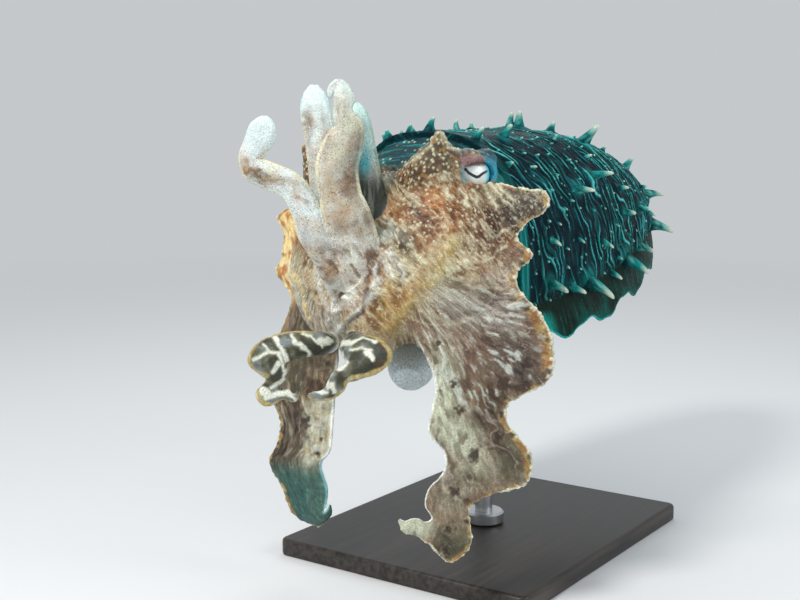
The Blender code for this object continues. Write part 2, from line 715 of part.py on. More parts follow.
def head_papillae():
    """The tall papilla over each eye and smaller ones scattered over the brows and cheeks."""
    chance = np.random.default_rng(SEED + 1)
    arms = arms_cloud()
    pieces = []
    for side in (-1, 1):
        mirror = np.array([side, 1, 1])
        *bends, radius = BROW_PAPILLA
        base, middle, tip = (roll_head(np.array([bend]) * mirror)[0] for bend in bends)
        pieces.append(spike(base, middle, tip, radius, 8))
        for _ in range(HEAD_PAPILLAE):
            turn = math.radians(chance.uniform(-62, 40))
            rise = math.radians(chance.uniform(-25, 48))
            toward = np.array(
                [side * math.cos(turn) * math.cos(rise), math.sin(turn) * math.cos(rise), math.sin(rise)]
            )
            eye = (np.array(EYE_CENTRE) - np.array([0, 0, 34.0])) * mirror
            if np.dot(toward, eye) > 0.93 * np.linalg.norm(eye):
                continue
            root = sunk_onto(head_field, (0.0, -2.0, 34.0), toward[None])[0]
            height = chance.uniform(3.0, 6.0)
            stem = [root + toward * height * share for share in (-0.35, 0.5, 1.0)]
            stem[2][2] += height * 0.3
            base, middle, tip = roll_head(np.array(stem))
            if np.min(np.linalg.norm(arms - middle, axis=1)) < height + 3.0:
                continue
            pieces.append(spike(base, middle, tip, 0.3 * height + 0.8))
    return pieces


def arm_suckers(name, start, end, crowd):
    """Two rows of suckers on the far face of one length of an arm, out to its tip."""
    fine = np.linspace(0, 1, 241)
    if name in BANDS:
        sheet, core = band_sheet(BANDS[name], fine, 41)
        place = int(round(40 * SUCKER_PLACE[name]))
        centres = sheet[:, place]
        across = sheet[:, place] - sheet[:, place - 1]
        across /= np.linalg.norm(across, axis=1, keepdims=True)
        tangents = np.gradient(centres, axis=0)
        tangents /= np.linalg.norm(tangents, axis=1, keepdims=True)
        normals = np.cross(across, tangents)
        normals *= np.sign(normals @ VIEW_NEAR)[:, None]
        span = np.linalg.norm(sheet[:, -1] - sheet[:, 0], axis=1)
        half_width, half_thick = np.minimum(0.24 * span, 7.0), core
    else:
        centres, _, across, normals, half_width, half_thick, _ = arm_frames(ARMS[name], fine)
        normals = normals * np.sign(normals @ VIEW_NEAR)[:, None]
    along = np.concatenate([[0], np.cumsum(np.linalg.norm(np.diff(centres, axis=0), axis=1))])
    pieces = []
    walked, row = 0.16 * along[-1], 1
    while walked < 0.985 * along[-1]:
        i = int(np.searchsorted(along, walked))
        radius = max(0.5 * SUCKER_WIDTH * half_width[i], 0.55)
        row = -row
        facing = -normals[i] + 0.35 * row * across[i]
        facing /= np.linalg.norm(facing)
        seat = centres[i] + 0.45 * row * half_width[i] * across[i] - normals[i] * half_thick[i] * 0.86
        walked += SUCKER_SPACING * radius
        if not start + 0.02 < fine[i] < end - 0.02 and end < 1:
            continue
        if fine[i] < start + 0.02:
            continue
        reach = seat + facing * radius
        if np.min(np.linalg.norm(crowd - reach, axis=1)) < radius + 2.2:
            continue
        pieces.append(sucker(seat, facing, radius))
    return pieces


def boxes_meet(target, points):
    """Whether the box of an object's mesh meets the box of some points about PIVOT."""
    own = np.array([vert.co for vert in target.data.vertices]) / MM - np.array(PIVOT)
    return bool(np.all(own.min(0) < points.max(0)) and np.all(own.max(0) > points.min(0)))


def cut_clear(target, makers):
    """Cuts target by each neighbour, grown by GAP, that its box meets."""
    for maker in makers:
        points, faces = maker(GAP)
        if boxes_meet(target, points):
            cut(target, new_mesh_object("cutter", points, faces))
    keep_largest(target)


def finish(target, material):
    """Gives a part its material, smooth shading and place under the pose's empty."""
    target.data.materials.clear()
    target.data.materials.append(MATERIALS[material])
    target.data.shade_smooth()
    target.parent = POSE


def whole_head(grow):
    return head_shape(40, 28, grow)


def whole_mantle(grow):
    return mantle_shape(22, 32, grow)


def arm_part(name, start, end, grow=0.0):
    """Points and faces of one length of an arm."""
    rings = max(4, round(ARM_RINGS[name] * (end - start)))
    if name in BANDS:
        return band(name, np.linspace(start, end, rings + 1), BAND_STEPS, grow)
    return ribbon(ARMS[name], np.linspace(start, end, rings + 1), ARM_SIDES, grow)


def eye_shape(side, segments, rings, grow=0.0):
    """Points and faces of an eyeball, rolled with the head."""
    ball = bmesh.new()
    bmesh.ops.create_uvsphere(ball, u_segments=segments, v_segments=rings, radius=EYE_RADIUS + grow)
    points = np.array([vert.co for vert in ball.verts])
    faces = [tuple(vert.index for vert in face.verts) for face in ball.faces]
    ball.free()
    return roll_head(points + np.array(EYE_CENTRE) * np.array([side, 1, 1])), faces


def whole_eye(side, grow):
    return eye_shape(side, 14, 9, grow)


def lid_opening(side):
    """Points and faces of the almond cut through the lids, an egg shape along the gaze."""
    gaze = np.array(EYE_GAZE) / np.linalg.norm(EYE_GAZE)
    level = np.cross(gaze, (0.0, 0.0, 1.0))
    level /= np.linalg.norm(level)
    upward = np.cross(level, gaze)
    ball = bmesh.new()
    bmesh.ops.create_uvsphere(ball, u_segments=16, v_segments=10, radius=1.0)
    points = np.array([vert.co for vert in ball.verts])
    faces = [tuple(vert.index for vert in face.verts) for face in ball.faces]
    ball.free()
    long_way, high_way = LID_OPENING
    shaped = level * points[:, :1] * long_way + upward * points[:, 1:2] * high_way
    shaped = shaped + gaze * (points[:, 2:] * EYE_RADIUS + EYE_RADIUS)
    shaped = (shaped + np.array(EYE_CENTRE)) * np.array([side, 1, 1])
    return roll_head(shaped), faces


def build_head():
    head = new_mesh_object("head", *whole_head(0.0))
    makers = [lambda grow, side=side: whole_eye(side, grow) for side in (1, -1)]
    makers += [lambda grow, side=side: lid_opening(side) for side in (1, -1)]
    join_pieces(head, head_papillae())
    cut_clear(head, makers)
    finish(head, "head_skin")


def build_eyes():
    for side, name in ((1, "eye_left"), (-1, "eye_right")):
        eye = new_mesh_object(name, *whole_eye(side, 0.0))
        finish(eye, "eye")


def build_mantle():
    mantle = new_mesh_object("mantle", *whole_mantle(0.0))
    join_pieces(mantle, mantle_papillae())
    cut_clear(mantle, [whole_head, lambda grow: whole_eye(1, grow), lambda grow: whole_eye(-1, grow)])
    finish(mantle, "mantle_skin")


def build_fins():
    for side, name in ((1, "fin_left"), (-1, "fin_right")):
        fin = new_mesh_object(name, *fin_shape(side, FIN_ROWS, FIN_STEPS))
        cut_clear(fin, [whole_mantle])
        finish(fin, "fin_skin")


def path_length(stations):
    """Length of an arm's path or of a broad arm's outer edge."""
    path = smooth_path(stations, 200)[:, :3]
    return np.linalg.norm(np.diff(path, axis=0), axis=1).sum()


def arm_material(name):
    if name.endswith("_3"):
        return "banded_skin"
    return "web_skin" if name.endswith("_4") else "arm_skin"


def arms_cloud(name=None):
    """Points all over every arm but one."""
    fine = np.linspace(0, 1, 81)
    clouds = [ribbon(ARMS[other], fine, 16)[0] for other in ARMS if other != name]
    clouds += [band(other, fine, 15)[0] for other in BANDS if other != name]
    return np.concatenate(clouds)


def crowd_round(name):
    """Points all over the head, the mantle and every other arm, to keep suckers clear of."""
    return np.concatenate([whole_head(0.0)[0], mantle_shape(40, 48)[0], arms_cloud(name)])


def build_arms():
    """Makes every arm in its lengths, each cut clear of what was made before it."""
    made = [whole_head, lambda grow: whole_eye(1, grow), lambda grow: whole_eye(-1, grow), whole_mantle]
    for name in ARM_ORDER:
        places, labels = ARM_LENGTHS[name]
        cuts = (0.0, *places, 1.0)
        half_gap = 0.5 * GAP / path_length(BANDS.get(name) or ARMS[name])
        lengths = []
        for label, start, end in zip(labels, cuts[:-1], cuts[1:]):
            first = start + (half_gap if start > 0 else 0)
            last = end - (half_gap if end < 1 else 0)
            arm = new_mesh_object(f"{name}_{label}", *arm_part(name, first, last))
            join_pieces(arm, arm_suckers(name, first, last, crowd_round(name)))
            cut_clear(arm, made + lengths)
            finish(arm, arm_material(name))
            lengths.append(lambda grow, name=name, start=start, end=end: arm_part(name, start, end, grow))
        made += lengths
    return made


def build_funnel(made):
    funnel = new_mesh_object("funnel", *ribbon(FUNNEL, np.linspace(0, 1, 7), 12))
    cut_clear(funnel, made)
    finish(funnel, "funnel_skin")


def build_stand():
    """The base board, the rod up into the mantle's underside and the collar round the rod."""
    base_top = BASE_SIZE[2] - PIVOT[2]
    bpy.ops.mesh.primitive_cube_add(size=1.0)
    base = bpy.context.object
    base.name = "stand_base"
    base.scale = [size * MM for size in BASE_SIZE]
    base.location = (
        (PIVOT[0] + BASE_CENTRE[0]) * MM,
        (PIVOT[1] + BASE_CENTRE[1]) * MM,
        0.5 * BASE_SIZE[2] * MM,
    )
    bpy.ops.object.transform_apply(location=False, rotation=False, scale=True)
    corners = base.modifiers.new("rounded edges", "BEVEL")
    corners.width = 2.0 * MM
    corners.segments = 2
    move_to_parts(base)
    finish(base, "stand_board")
    collar = stand_cylinder("stand_collar", COLLAR_RADIUS, base_top + GAP, base_top + COLLAR_HEIGHT)
    bore = stand_cylinder("cutter", ROD_RADIUS + GAP, base_top - 5, base_top + COLLAR_HEIGHT + 5)
    cut(collar, bore)
    finish(collar, "stand_metal")
    rod = stand_cylinder("stand_rod", ROD_RADIUS, base_top + GAP, 10.0)
    cut_clear(rod, [whole_mantle])
    finish(rod, "stand_metal")


def stand_cylinder(name, radius, low, high):
    """An upright cylinder at ROD_PLACE between two heights about PIVOT."""
    shape = bmesh.new()
    bmesh.ops.create_cone(
        shape, cap_ends=True, segments=18, radius1=radius, radius2=radius, depth=high - low
    )
    points = np.array([vert.co for vert in shape.verts])
    faces = [tuple(vert.index for vert in face.verts) for face in shape.faces]
    shape.free()
    points += np.array([ROD_PLACE[0], ROD_PLACE[1], 0.5 * (low + high)])
    return new_mesh_object(name, points, faces)


def move_to_parts(made):
    for collection in list(made.users_collection):
        collection.objects.unlink(made)
    PARTS.objects.link(made)


PARTS, CUTTERS = start_scene()
MATERIALS = {name: make_material(name) for name in COLOURS}
POSE = bpy.data.objects.new("cuttlefish_pose", None)
PARTS.objects.link(POSE)
build_head()
build_eyes()
build_mantle()
build_fins()
build_funnel(build_arms())
build_stand()
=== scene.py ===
"""Broadclub cuttlefish in its raised-arm display, on a plain stand: skin, eyes, stand, light.

Lengths are millimetres about PIVOT, a point under the eyes, and become metres when a mesh is
made. The animal faces -Y, its left side is +X. The arms are laid out as the camera sees them:
(across, up, near), across to the picture's right and near towards the camera.
"""

import math

import bmesh
import bpy
import numpy as np
from mathutils import Matrix, Vector
from mathutils.bvhtree import BVHTree


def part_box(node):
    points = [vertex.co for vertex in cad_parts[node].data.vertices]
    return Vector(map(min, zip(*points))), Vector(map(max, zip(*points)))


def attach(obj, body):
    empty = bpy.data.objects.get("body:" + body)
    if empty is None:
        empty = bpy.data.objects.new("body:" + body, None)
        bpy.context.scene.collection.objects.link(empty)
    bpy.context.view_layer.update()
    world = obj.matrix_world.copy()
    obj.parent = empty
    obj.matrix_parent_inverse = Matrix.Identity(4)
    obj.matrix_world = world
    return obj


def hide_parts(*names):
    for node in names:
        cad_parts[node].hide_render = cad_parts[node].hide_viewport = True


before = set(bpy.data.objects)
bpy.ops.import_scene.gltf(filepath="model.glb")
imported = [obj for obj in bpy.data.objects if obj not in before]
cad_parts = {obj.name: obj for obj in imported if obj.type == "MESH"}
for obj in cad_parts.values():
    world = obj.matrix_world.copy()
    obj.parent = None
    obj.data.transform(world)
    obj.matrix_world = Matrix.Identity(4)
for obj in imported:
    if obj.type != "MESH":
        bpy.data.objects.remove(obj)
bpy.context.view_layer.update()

MM = 0.001
VOXEL = 0.78
VIEW_TURN = math.radians(35.0)
VIEW_TILT = math.radians(8.0)
CAMERA_DISTANCE = 800.0
PIXEL = 0.65  # mm at the pivot
FRAME_MIDDLE = (400.0, 300.0)
PICTURE_WIDTH = 800.0
SENSOR_WIDTH = 36.0

MANTLE_LENGTH = 300.0
MANTLE_FRONT = 38.0
MANTLE_HALF_WIDTH = 76.5
MANTLE_TOP = 113.0
MANTLE_BELLY = 28.0
MANTLE_RISE = 48.0
MANTLE_LEVEL = -2.0
MANTLE_FALL = 34.5
MANTLE_SHOULDER = 0.2
MANTLE_THROAT = 0.34
MANTLE_SQUARE = (2.8, 0.6)
RIM_THICKNESS = 5.0
RIM_DEPTH = 9.0
FIN_WIDTH = 24.0
FIN_ROOT_THICKNESS = 6.0
FIN_EDGE_THICKNESS = 1.5
FIN_RIPPLE = 4.0
FIN_DROOP = 56.0
FIN_SINK = 2.5
FIN_SPAN = (0.02, 0.975)
FIN_ANGLE = math.radians(97)

HEAD_ROLL = math.radians(5.5)
HEAD_LEVEL = 40.0
HEAD_MIDDLE = (0.0, -2.0, 34.0)
NAPE_CENTRE = (0.0, 35.0, 60.0)
NAPE_SIZE = (62.0, 26.0, 45.0)
EYE_CENTRE = (53.0, 3.0, 77.0)
EYE_RADIUS = 13.5
EYE_GAZE = (0.83, -0.53, 0.03)
LID_THICKNESS = 2.6
LID_OPENING = (13.6, 6.8)
LID_SHIFT = -2.0
# The W-shaped pupil, in mm along the lids and up from the gaze.
PUPIL = [
    (6.6, 3.0), (5.2, 0.6), (3.0, -1.0), (0.6, -2.3), (-1.2, -2.0), (-3.6, -0.5), (-5.6, 0.2), (-8.2, 1.0),
]
PUPIL_COLOUR = (0.004, 0.005, 0.008)
SEED = 7
HASH_PRIMES = (73856093, 19349663, 83492791, 2654435761)
PATH_STEPS = 24  # between one station of a path and the next

# How many points each form gets: round and down a globe, along and across or round the others.
HEAD_GRID = (260, 180)
NAPE_GRID = (120, 80)
SOCKET_GRID = (64, 40)
LID_GRID = (48, 32)
MANTLE_GRID = (200, 300)
FIN_GRID = (300, 14)
FUNNEL_GRID = (60, 64)
RAISED_GRID = (170, 40)
LOWER_GRID = (360, 36)
ZEBRA_GRID = (200, 22)
SOCKET_GAP = 0.25
# Where an arm leaves the head: how far the skin is smoothed, and how far round, in mm.
BORDER_REACH = 9.0
BORDER_ZONE = 14.0

# Where the skin's patterns run. A span is the mm in a whole share of a form.
FLANK_ANGLE = math.radians(74)
FLANK_SPAN = 95.0
RIDGE_SWEEP = 0.14  # how far back the ridges run on the flank, as a share of the mantle
RIDGE_PITCH = 6.0
ARM_SPAN = (190.0, 18.0)
BLADE_SPAN = (230.0, 34.0)
FLOW_SCALE = 0.62  # mm a pixel, on the head
REGION_STEP = 7.3  # keeps one region's streaks from running on into the next

# The streaks in pixels of the photograph: the web's fan out from a centre.
WEB_CENTRE = (400, 270)
WEB_FAN = 125.0  # a radian round the centre
HEAD_STREAK_LEAN = math.radians(50)
# Length, width and seed of broad streaks, fine ones and veins, on the head and on the web.
FRONT_STREAKS = [
    ((9.0, 3.4, 42), (12.0, 3.8, 41)),
    ((5.5, 2.1, 44), (8.0, 2.4, 43)),
    ((9.0, 4.0, 37), (22.0, 5.0, 38)),
]
STREAK_DARKENING = ((0.38, 0.24, 0.14), (0.40, 0.33, 0.31))
# Soft ellipses: x, y, half width, half height, lean in degrees.
FRONT_AREAS = {
    "brow": (440, 150, 30, 24, 0),
    "crown": (410, 175, 20, 11, -25),
    "shaded cheek": (520, 212, 34, 32, 0),
    "plain web": (516, 362, 32, 34, 0),
    "joined rim": (440, 280, 50, 24, -15),
}

# Suckers: steps read across and along an arm, the share of it that they cover, their smallest
# and largest radius, the step along it in radii, and the rows, in half reaches across, by turns.
BAND_READS = 40
ARM_READS = 400
SUCKER_SPAN = (0.12, 0.985)
SUCKER_RADII = (0.45, 1.5)
SUCKER_PITCH = 2.15
SUCKER_ROWS = ((-0.5, 1.5), (-1.5, 0.5))
SUCKER_SIDES = 12
# Round a sucker from its seat over its rim into its cup, for radius one: radius, height, shade.
CUP_PROFILE = [
    (0.6, -0.5, 0), (0.62, 0.1, 0), (0.95, 0.42, 0.2), (1.0, 0.68, 0.3),
    (0.82, 0.82, 0.5), (0.55, 0.6, 0.9), (0.05, 0.45, 1.0),
]

ROD_SIDES = 72
BOARD_SIDES = 96
BOARD_CORNER = 7.0
# The board's edges: how far in, and how far up from its foot or down from its top.
BOARD_FOOT = ((1.6, 0.0), (0.4, 0.5), (0.0, 1.6))
BOARD_EDGE = ((0.0, 2.6), (0.35, 1.2), (1.2, 0.35), (2.6, 0.0), (3.4, 0.0))
OAK_STAIN = ((0.35, (0.010, 0.008, 0.007)), (0.72, (0.060, 0.046, 0.036)))

STUDIO_COLOUR = (0.93, 0.965, 1.0)
STUDIO_STRENGTH = 0.6
FLOOR_COLOUR = (0.78, 0.79, 0.80)
FLOOR_RADIUS = 40.0
FLOOR_FADE = (0.35, 2.2)
LIGHT_TARGET = (0, 0.03, 0.03)  # from the pivot
# Lamps: metres across, up and near from the target, size in metres, power, colour.
LIGHTS = {
    "key": ((-0.62, 0.85, 0.85), 0.32, 13.0, (1.0, 0.98, 0.95)),
    "fill": ((1.1, 0.5, 0.5), 0.7, 4.0, (0.93, 0.97, 1.0)),
    "rim": ((0.2, 1.0, -0.9), 0.6, 2.5, (0.85, 0.97, 1.0)),
}

# Papillae that the photograph shows on the mantle: the pixel of the tip, and the height.
SEEN_PAPILLAE = [
    (379, 130, 6.5), (393, 135, 3), (401, 131, 4), (409, 125, 6.5), (431, 111, 9), (456, 123, 8),
    (472, 118, 4.5), (482, 131, 8), (511, 126, 10), (513, 109, 9), (524, 105, 12), (522, 137, 3),
    (533, 137, 3.5), (555, 120, 9), (558, 135, 5), (595, 130, 14), (608, 142, 4.5), (537, 165, 4),
    (571, 159, 3), (605, 174, 11), (632, 161, 12), (634, 179, 6), (628, 189, 7), (660, 194, 13),
    (654, 215, 6), (668, 232, 15), (636, 216, 9), (590, 189, 9.5), (574, 201, 3.5), (569, 210, 3.5),
    (555, 190, 3), (613, 247, 7), (620, 226, 3.5), (649, 247, 5), (646, 271, 16), (623, 261, 4),
    (603, 260, 3), (584, 242, 4), (560, 245, 6), (619, 278, 7), (610, 293, 15), (583, 291, 9),
    (564, 290, 11),
]
PAPILLA_LEAN = 0.3
PAPILLA_TRIES = 1800

REGION_COUNT = 8
HEAD, MANTLE, FIN, FUNNEL, RAISED, ZEBRA, LOWER_LEFT, LOWER_RIGHT = range(REGION_COUNT)

VIEW_ACROSS = np.array([math.cos(VIEW_TURN), math.sin(VIEW_TURN), 0.0])
VIEW_UP = np.array(
    [
        -math.sin(VIEW_TURN) * math.sin(VIEW_TILT),
        math.cos(VIEW_TURN) * math.sin(VIEW_TILT),
        math.cos(VIEW_TILT),
    ]
)
VIEW_NEAR = np.cross(VIEW_ACROSS, VIEW_UP)

# Raised arms, a station a row: (across, up, near, half width, half thickness, turn in degrees).
ARMS = {
    "arm_left_1": [
        (-22, 4, 24, 13, 8, 0),
        (-25, 22, 42, 15, 8, 0),
        (-32, 49, 56, 14, 7.5, 0),
        (-36, 63, 58, 12, 7, 0),
        (-38, 80, 58, 12, 6.5, 0),
        (-34, 94, 58, 11, 6, 0),
        (-30.5, 103, 60, 8.2, 5, 10),
        (-34, 111, 62, 5.6, 4, 15),
        (-34.2, 116.5, 63, 5.0, 3.6, 10),
        (-33.2, 121, 63, 5.6, 3.4, 0),
        (-34.2, 125.4, 62.5, 4.6, 3.0, 0),
        (-36, 129.4, 62, 2.7, 2.2, 0),
        (-38.4, 129.6, 61.6, 2.4, 2.0, 0),
        (-41, 127, 61.2, 2.4, 1.9, 0),
        (-42, 123.6, 61, 1.9, 1.6, 0),
        (-41.4, 121, 61, 0.9, 0.9, 0),
    ],
    "arm_right_2": [
        (-36, 8, 20, 10, 7, 0),
        (-43, 24, 42, 9.5, 7, 0),
        (-52, 40, 54, 9, 7, 0),
        (-58, 57, 56, 8, 6.5, 0),
        (-66, 69, 55, 7.5, 6, 0),
        (-79, 75, 53, 7.5, 6, 0),
        (-89, 80, 51, 7, 5.5, 0),
        (-91, 87, 51, 6.4, 5, 0),
        (-87.5, 93.5, 53, 7.2, 4.6, 0),
        (-84, 99.5, 56, 8.3, 4.2, 0),
        (-82.6, 104.5, 58, 8.0, 3.6, 0),
        (-82, 108.5, 59, 5.6, 2.8, 0),
        (-82, 111, 59, 1.8, 1.2, 0),
    ],
    "arm_right_1": [
        (-34, 12, 14, 9, 6, 0),
        (-38, 32, 30, 9, 6, 0),
        (-42, 50, 38, 9, 6, 0),
        (-46, 68, 40, 8.5, 6, 0),
        (-48, 86, 40, 8.2, 5.5, 0),
        (-50, 102, 40, 8.5, 5, 0),
        (-52, 116, 40, 8.6, 4.5, 0),
        (-53, 127, 40, 7, 3.5, 0),
        (-53, 133, 40, 2.5, 2, 0),
    ],
    "arm_left_2": [
        (-12, 10, 22, 11, 7, 0),
        (-11, 32, 30, 10, 7, 0),
        (-16, 52, 34, 10, 6.5, 0),
        (-21, 72, 36, 9.5, 6, 0),
        (-25, 92, 38, 9.5, 5.5, 0),
        (-27, 108, 38, 8.5, 4.5, 0),
        (-27, 117, 38, 6, 3.5, 0),
        (-28, 122, 38, 2.5, 2, 0),
    ],
}

# Broad arms, a fold of the edge a row: (across, up, near) of the outer edge, (across, up, near)
# of the inner edge, half thickness of the core.
BANDS = {
    "arm_left_4": [
        (60, 72, 44, 48, 67, 34, 3),
        (77, 66.5, 58, 45, 56, 34, 4),
        (85.5, 66, 62, 44, 53, 35, 4),
        (89.5, 60.5, 64, 42, 48, 36, 4),
        (86.5, 53, 62, 41, 44, 36, 4),
        (77, 47, 58, 39, 39, 36, 4),
        (71, 37, 55, 34, 31, 38, 4),
        (80, 27, 60, 28, 23, 40, 4),
        (71, 17, 56, 21, 13, 42, 4),
        (73, 5, 57, 11, 3, 44, 4),
        (86, -10, 58, 2, -12, 48, 5),
        (93, -29, 55, 14, -31, 55, 6),
        (89, -49, 57, 21, -50, 56, 5.5),
        (66, -62, 57, 19, -66, 56, 5.5),
        (66, -76, 56, 17, -80, 56, 5),
        (79, -93, 58, 26, -92, 55, 5),
        (76, -111, 56, 26, -104, 55, 5),
        (55, -117, 58, 17, -114, 57, 4.5),
        (42, -126, 55, 15, -124, 58, 4),
        (43, -147, 57, 19, -131, 59, 3.5),
        (30, -158, 60, 15, -133, 61, 3),
        (17, -146, 61, 11, -131, 62, 2.4),
        (10, -142, 60, 7, -131, 62, 2),
        (2, -140, 57, 3, -133, 59, 1.5),
        (-1, -133, 56, 0, -132, 56, 0.8),
    ],
    "arm_right_4": [
        (-70, 66, -36, -55, 60, -25, 3),
        (-84, 58, -50, -55, 49, -23, 3.5),
        (-80, 46, -50, -55, 39, -20, 3.5),
        (-81, 29, -49, -53, 26, -13, 3.5),
        (-85, 19, -50, -52, 18, -9, 3.5),
        (-74, 4, -43, -50, 5, -4, 4),
        (-77, -11, -44, -47, -8, -1, 4.5),
        (-86, -34, -47, -40, -31, -2, 5.5),
        (-92, -58, -50, -42, -54, -9, 6),
        (-82, -84, -47, -44, -79, -13, 5.5),
        (-85, -100, -48, -46, -99, -14, 5),
        (-90, -112, -50, -52, -109, -16, 4.5),
        (-80, -130, -44, -48, -125, -17, 4),
        (-72, -146, -40, -49, -136, -17, 3.5),
        (-56, -152, -30, -50, -140, -14, 2.8),
        (-47, -144, -22, -48, -138, -14, 2),
        (-46, -136, -17, -47, -135, -14, 0.8),
    ],
    "arm_right_3": [
        (-43, -21, 14, -44, -33, 14, 5),
        (-49, -20, 46, -48, -33, 47, 7),
        (-61, -19, 59, -57, -34, 60, 7),
        (-74, -21, 64, -66, -36, 66, 6),
        (-86, -27, 64, -69, -37, 69, 5),
        (-91, -37, 60, -68, -40, 68, 4.4),
        (-83, -45, 58, -68, -44, 64, 4),
        (-80, -48, 58, -69, -47, 61, 3.6),
        (-87, -57, 55, -73, -52, 59, 3.2),
        (-81, -64, 55, -72, -55, 59, 2.8),
        (-71, -59, 57, -68, -54, 60, 2.4),
        (-63, -61, 59, -64, -57, 60, 1.8),
        (-60, -55, 60, -61, -54, 60, 0.8),
    ],
    "arm_left_3": [
        (-26, -20, 16, -33, -33, 16, 5),
        (-23, -22, 48, -35, -34, 46, 7),
        (-13, -23, 64, -33, -36, 58, 6.5),
        (-5, -31, 70, -32, -38, 64, 5.6),
        (-9, -40, 70, -34, -40, 68, 5),
        (-22, -46, 70, -37, -41, 71, 4.4),
        (-31, -48, 69, -40, -44, 73, 3.6),
        (-34, -54, 68, -43, -50, 72, 3),
        (-42, -59, 67, -46, -54, 70, 2.5),
        (-50, -59, 67, -51, -55, 69, 1.8),
        (-55, -57, 68, -55, -56, 68, 0.8),
    ],
}
KEEL_EDGE = 0.85
CORE_PLACE = {"arm_left_4": 0.66, "arm_right_4": 0.66, "arm_right_3": 0.5, "arm_left_3": 0.5}
CORE_POWER = {"arm_left_4": 1.2, "arm_right_4": 1.2, "arm_right_3": 0.6, "arm_left_3": 0.6}
SUCKER_PLACE = {"arm_left_4": 0.7, "arm_right_4": 0.7, "arm_right_3": 0.62, "arm_left_3": 0.62}
BAND_REGION = {
    "arm_left_4": LOWER_LEFT, "arm_right_4": LOWER_RIGHT, "arm_right_3": ZEBRA, "arm_left_3": ZEBRA,
}
ARM_NAMES = (*ARMS, *BANDS)

FUNNEL_PATH = [
    (20, -6, -46, 18, 15, 0),
    (14, -22, -26, 19, 16, 0),
    (9, -36, -6, 17.5, 15, 0),
    (6.5, -46, 8, 14.5, 12.5, 0),
    (5.5, -51, 15, 10, 9, 0),
]


# Paths, frames and sheets, as in the solids


def smooth_path(stations, count):
    """Catmull-Rom through the stations, read at count even steps along it or at given shares."""
    knots = np.asarray(stations, float)
    padded = np.vstack([2 * knots[0] - knots[1], knots, 2 * knots[-1] - knots[-2]])
    fine = []
    for i in range(1, len(padded) - 2):
        a, b, c, d = padded[i - 1 : i + 3]
        slope, bow, twist = c - a, 2 * a - 5 * b + 4 * c - d, 3 * b - a - 3 * c + d
        for t in np.linspace(0, 1, PATH_STEPS, endpoint=False):
            fine.append(0.5 * (2 * b + slope * t + bow * t * t + twist * t**3))
    fine.append(knots[-1])
    fine = np.array(fine)
    steps = np.linalg.norm(np.diff(fine[:, :3], axis=0), axis=1)
    along = np.concatenate([[0], np.cumsum(steps)])
    share = along / along[-1]
    wanted = np.asarray(count) if np.ndim(count) else np.linspace(0, 1, count)
    return np.stack([np.interp(wanted, share, fine[:, k]) for k in range(fine.shape[1])], axis=1)


def unit(vectors):
    return vectors / np.maximum(np.linalg.norm(vectors, axis=-1, keepdims=True), 1e-9)


def seen_to_body(points):
    """Points given as (across, up, near) turned into the animal's (left, back, up)."""
    points = np.asarray(points, float)
    return points[:, :1] * VIEW_ACROSS + points[:, 1:2] * VIEW_UP + points[:, 2:3] * VIEW_NEAR


def body_to_pixels(points):
    """Where points about the pivot fall in the photograph's frame, and how near they are."""
    across, up, near = points @ VIEW_ACROSS, points @ VIEW_UP, points @ VIEW_NEAR
    scale = 1.0 / (PIXEL * (1 - near / CAMERA_DISTANCE))
    return FRAME_MIDDLE[0] + across * scale, FRAME_MIDDLE[1] - up * scale, near


def arm_frames(stations, shares):
    """Centres, tangents, width and face directions, sizes and curvature along an arm."""
    read = smooth_path(stations, shares)
    before = smooth_path(stations, np.clip(np.asarray(shares) - 0.01, 0, 1))
    after = smooth_path(stations, np.clip(np.asarray(shares) + 0.01, 0, 1))
    centres = seen_to_body(read)
    ahead, behind = seen_to_body(after), seen_to_body(before)
    tangents = unit(ahead - behind)
    widths = unit(np.cross(tangents, VIEW_NEAR))
    normals = np.cross(widths, tangents)
    turn = np.radians(read[:, 5])[:, None]
    turned = widths * np.cos(turn) + normals * np.sin(turn)
    normals = np.cross(turned, tangents)
    first, last = centres - behind, ahead - centres
    step = 0.5 * (np.linalg.norm(first, axis=1) + np.linalg.norm(last, axis=1))
    bend = (unit(last) - unit(first)) / np.maximum(step, 1e-6)[:, None]
    return centres, tangents, turned, normals, read[:, 3], read[:, 4], bend


def limited(offset, bend):
    """Keeps an offset towards the inside of a bend short of the bend's own centre."""
    inside = np.sign(offset) * bend
    room = np.where(inside > 1e-6, 0.8 / np.maximum(inside, 1e-6), 1e6)
    return np.sign(offset) * np.minimum(np.abs(offset), room)


def grid_faces(rows, columns):
    """Quads between successive rings of points, each ring joined round."""
    i = np.arange(rows - 1)[:, None]
    j = np.arange(columns)[None]
    k = (j + 1) % columns
    corners = [i * columns + j, i * columns + k, (i + 1) * columns + k, (i + 1) * columns + j]
    return np.stack(np.broadcast_arrays(*corners), axis=-1).reshape(-1, 4)


def repeated_faces(rows, columns, copies):
    """The faces of many tubes of one make, one after another."""
    starts = np.arange(copies) * rows * columns
    return (grid_faces(rows, columns)[None] + starts[:, None, None]).reshape(-1, 4)


